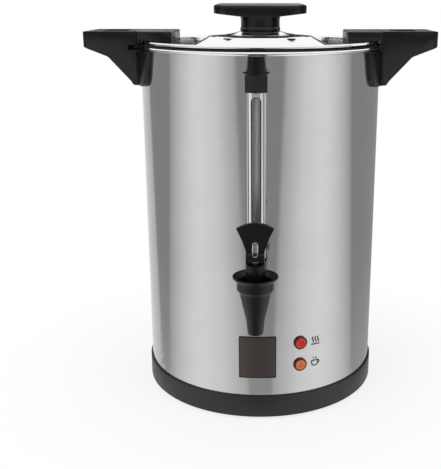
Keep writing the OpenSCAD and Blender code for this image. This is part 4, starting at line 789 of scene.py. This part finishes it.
def heatMark(bm):
    # three waves over a hot plate
    for x in lampMarks["heat"]:
        inkStroke(bm, wavePoints(x, -1.7, 0.55, 0.65, 0.45, 11), lampMarks["line"])
    inkStroke(bm, levelPoints(-3.4, -2.9, 0.85, 9), lampMarks["line"])


def cupMark(bm):
    # a cup with its rim, its handle and two wisps of steam
    inkStroke(bm, [(-2.9, 1.0), (-2.7, -0.6)] + arcPoints(-1.0, -1.2, 1.6, 160, 270, 5)
              + arcPoints(0.4, -1.2, 1.6, 270, 380, 5) + [(2.3, 1.0)], lampMarks["line"])
    inkStroke(bm, levelPoints(-3.1, 1.0, 0.7, 9), lampMarks["line"])
    inkStroke(bm, arcPoints(2.2, -0.3, 1.2, 70, -80, 8), lampMarks["fineLine"])
    for x in lampMarks["steam"]:
        inkStroke(bm, wavePoints(x, 1.9, 0.35, 0.9, 0.3, 7), lampMarks["fineLine"])


for node, draw in (("heating_lamp", heatMark), ("warm_lamp", cupMark)):
    bm = bmesh.new()
    draw(bm)
    film = bmesh.ops.extrude_face_region(bm, geom=bm.faces[:])
    bmesh.ops.translate(bm, verts=[g for g in film["geom"] if isinstance(g, bmesh.types.BMVert)],
                        vec=(0, -lampMarks["film"], 0))
    bmesh.ops.scale(bm, vec=(lampMarks["scale"], 1, lampMarks["scale"]), verts=bm.verts[:])
    wrapOnDrum(bm, drum["radius"], lampMarks["azimuth"], lampHeights[node])
    bmesh.ops.recalc_face_normals(bm, faces=bm.faces[:])
    linkPiece(node + "_mark", meshFrom(bm, node + "Mark", "printInk"), "housing", "bezel_plastic")
print("printed marks")


studio = {
    "floorHalf": 8.0, "ambient": 0.45,
    # how far out the floor starts to fade to white, and where it has; how white it is nearer
    "paperNear": 0.14, "paperFar": 0.36, "paperWhite": 0.8,
    # radius and height up the cards, how much of the floor's white they take at their foot, and
    # how much of their tone is left above the drum, where a dark curtain hangs
    "cardProfile": [(0.15, 0.002, 0.12, 1), (0.24, 0.004, 0.08, 1), (0.30, 0.03, 0.04, 1),
                    (0.34, 0.09, 0, 1), (0.36, 0.20, 0, 1), (0.36, 0.385, 0, 1),
                    (0.36, 0.40, 0, 0.06), (0.36, 0.455, 0, 0.06), (0.36, 0.458, 0, 1)],
    "cardCuts": 4, "cardStep": 1.5,   # cuts between two of those, and degrees round to the next
    # the bands that the drum shows: where each card starts, in degrees round the drum from the
    # eye's side at edgeHeight, and how many degrees a metre its edge leans, up to leanTop
    "leftEdges": [(7.4, 16), (47.6, -24), (60.3, 11)],
    "rightEdges": [(7.4, 16), (47.6, -24), (81, 0)],
    "lastEdge": 90, "edgeHeight": 0.2, "leanTop": 0.36, "halvings": 24,
    # how bright the cards are; whole numbers are the edges above
    "cardTones": [(0, 0.31), (1, 0.31), (1.04, 0.53), (1.28, 0.86), (1.5, 0.97), (1.62, 0.94),
                  (1.8, 0.74), (1.98, 0.45), (2, 0.31), (3, 0.31), (3.03, 0.60), (3.7, 0.85),
                  (4, 0.7)],
}
view = {"distance": 0.860, "height": 0.4164, "turn": 1.5, "pitch": 16.47, "lens": 61.02,
        "sensor": 36, "shift": -0.0849}
softBoxes = {
    "keyLight": {"place": (-1.3, -1.2, 1.7), "aim": (0, 0, 0.2), "size": 1.2, "power": 22},
    "fillLight": {"place": (1.5, -1.0, 1.2), "aim": (0, 0, 0.2), "size": 1.4, "power": 12},
    "topLight": {"place": (0, 0.5, 2.0), "aim": (0, 0, 0.2), "size": 1.6, "power": 10},
}


def mirrorSpot(side, radius, z):
    # the angle and height on the drum at which a spot of card is mirrored to the camera, found
    # by halving the range until the eye and the spot stand at equal angles to the wall
    reach, low, high = drum["radius"] * mm, 0, math.radians(side)
    for _ in range(studio["halvings"]):
        angle = (low + high) / 2
        rest = math.radians(side) - angle
        eye = (view["distance"] * math.sin(angle), view["distance"] * math.cos(angle) - reach)
        spot = (radius * math.sin(rest), radius * math.cos(rest) - reach)
        if math.atan2(*eye) < math.atan2(*spot):
            low = angle
        else:
            high = angle
    near, far = math.hypot(*spot), math.hypot(*eye)
    return math.degrees(angle), z + (view["height"] - z) * near / (near + far)


def toneAt(degrees, radius, z):
    turned = (degrees - view["turn"] + 180) % 360 - 180
    angle, height = mirrorSpot(abs(turned), radius, z)
    up = min(height, studio["leanTop"]) - studio["edgeHeight"]
    leaning = studio["leftEdges" if turned < 0 else "rightEdges"]
    edges = [0] + [edge + lean * up for edge, lean in leaning] + [studio["lastEdge"]]
    band = sum(angle > edge for edge in edges[1:-1])
    place = band + (angle - edges[band]) / (edges[band + 1] - edges[band])
    table = studio["cardTones"]
    for (a, low), (b, high) in zip(table, table[1:]):
        if place <= b:
            return low + (high - low) * (place - a) / (b - a)
    return table[-1][1]


def seenDirectly(tree):
    # 1 for what the eye sees itself, in a mirror or through glass, and 0 for light on its way
    rays = addNode(tree, "ShaderNodeLightPath").outputs
    seen = rays["Is Camera Ray"]
    for kind in ("Is Glossy Ray", "Is Transmission Ray"):
        seen = addNode(tree, "ShaderNodeMath", {0: seen, 1: rays[kind]},
                       operation="MAXIMUM").outputs[0]
    return seen


def studioFloor():
    half = studio["floorHalf"]
    mesh = bpy.data.meshes.new("floor")
    mesh.from_pydata([(-half, -half, 0), (half, -half, 0), (half, half, 0), (-half, half, 0)], [],
                     [(0, 1, 2, 3)])
    floor = addObject("studioFloor", mesh)
    material, tree, place = startFinish("paleStudioFloor")
    seen = seenDirectly(tree)
    paper = addNode(tree, "ShaderNodeBsdfDiffuse", {"Color": linear("#F4F4F4")})
    white = addNode(tree, "ShaderNodeEmission", {"Color": linear("#FFFFFF"), "Strength": 1.0})
    away = addNode(tree, "ShaderNodeVectorMath", {0: place}, operation="LENGTH")
    fade = addNode(tree, "ShaderNodeMapRange", {
        "Value": away.outputs["Value"], "From Min": studio["paperNear"],
        "From Max": studio["paperFar"], "To Min": studio["paperWhite"], "To Max": 1.0},
        interpolation_type="SMOOTHSTEP")
    share = addNode(tree, "ShaderNodeMath", {0: fade.outputs[0], 1: seen}, operation="MULTIPLY")
    shader = addNode(tree, "ShaderNodeMixShader", {
        0: share.outputs[0], 1: paper.outputs[0], 2: white.outputs[0]})
    mesh.materials.append(endFinish(material, tree, shader))


def studioCards():
    # grey and white cards that only mirrors see, stood round the object and swept in under it:
    # they give the steel its upright bands
    count = int(360 / studio["cardStep"])
    coarse, cuts = studio["cardProfile"], studio["cardCuts"]
    profile = [[p + (q - p) * k / cuts for p, q in zip(a, b)]
               for a, b in zip(coarse, coarse[1:]) for k in range(cuts)] + [coarse[-1]]
    rows = len(profile)
    points, faces, tones = [], [], []
    for i in range(count + 1):
        degrees = -180 + i * studio["cardStep"]
        angle = math.radians(degrees)
        for radius, z, white, left in profile:
            points.append((radius * math.sin(angle), -radius * math.cos(angle), z))
            tones.append((toneAt(degrees, radius, z) * (1 - white) + white) * left)
        if i:
            for k in range(rows - 1):
                a = (i - 1) * rows + k
                faces.append((a, a + 1, a + 1 + rows, a + rows))
    mesh = bpy.data.meshes.new("cards")
    mesh.from_pydata(points, [], faces)
    shade = mesh.attributes.new("shade", "FLOAT", "POINT")
    shade.data.foreach_set("value", tones)
    cards = addObject("studioCards", mesh)
    material, tree, _ = startFinish("paperCards")
    tone = addNode(tree, "ShaderNodeAttribute", attribute_name="shade")
    glow = addNode(tree, "ShaderNodeEmission", {"Color": tone.outputs["Fac"], "Strength": 1.0})
    mesh.materials.append(endFinish(material, tree, glow))
    for ray in ("camera", "diffuse", "shadow", "transmission"):
        setattr(cards, "visible_" + ray, False)


def studioWorld():
    world = bpy.data.worlds.new("whiteStudio")
    bpy.context.scene.world = world
    world.use_nodes = True
    tree = world.node_tree
    tree.nodes.clear()
    strength = addNode(tree, "ShaderNodeMapRange", {
        "Value": seenDirectly(tree), "To Min": studio["ambient"], "To Max": 1.0})
    sky = addNode(tree, "ShaderNodeBackground", {
        "Color": linear("#FFFFFF"), "Strength": strength.outputs[0]})
    addNode(tree, "ShaderNodeOutputWorld", {"Surface": sky.outputs[0]})


def softBox(name, look):
    light = bpy.data.lights.new(name, "AREA")
    light.shape, light.size, light.energy = "SQUARE", look["size"], look["power"]
    lamp = addObject(name, light)
    lamp.location = look["place"]
    toward = Vector(look["aim"]) - Vector(look["place"])
    lamp.rotation_euler = toward.to_track_quat("-Z", "Y").to_euler()
    lamp.visible_glossy = False
    lamp.visible_camera = False


def studioCamera():
    turn = math.radians(view["turn"])
    data = bpy.data.cameras.new("camera")
    data.lens, data.sensor_width, data.shift_x = view["lens"], view["sensor"], view["shift"]
    data.clip_start = 0.01
    camera = addObject("camera", data)
    camera.location = (view["distance"] * math.sin(turn), -view["distance"] * math.cos(turn),
                       view["height"])
    camera.rotation_euler = (math.radians(90 - view["pitch"]), 0, turn)
    bpy.context.scene.camera = camera


studioFloor()
studioCards()
studioWorld()
for name, look in softBoxes.items():
    softBox(name, look)
studioCamera()
bpy.context.scene.view_settings.view_transform = "Standard"
print("studio ready")


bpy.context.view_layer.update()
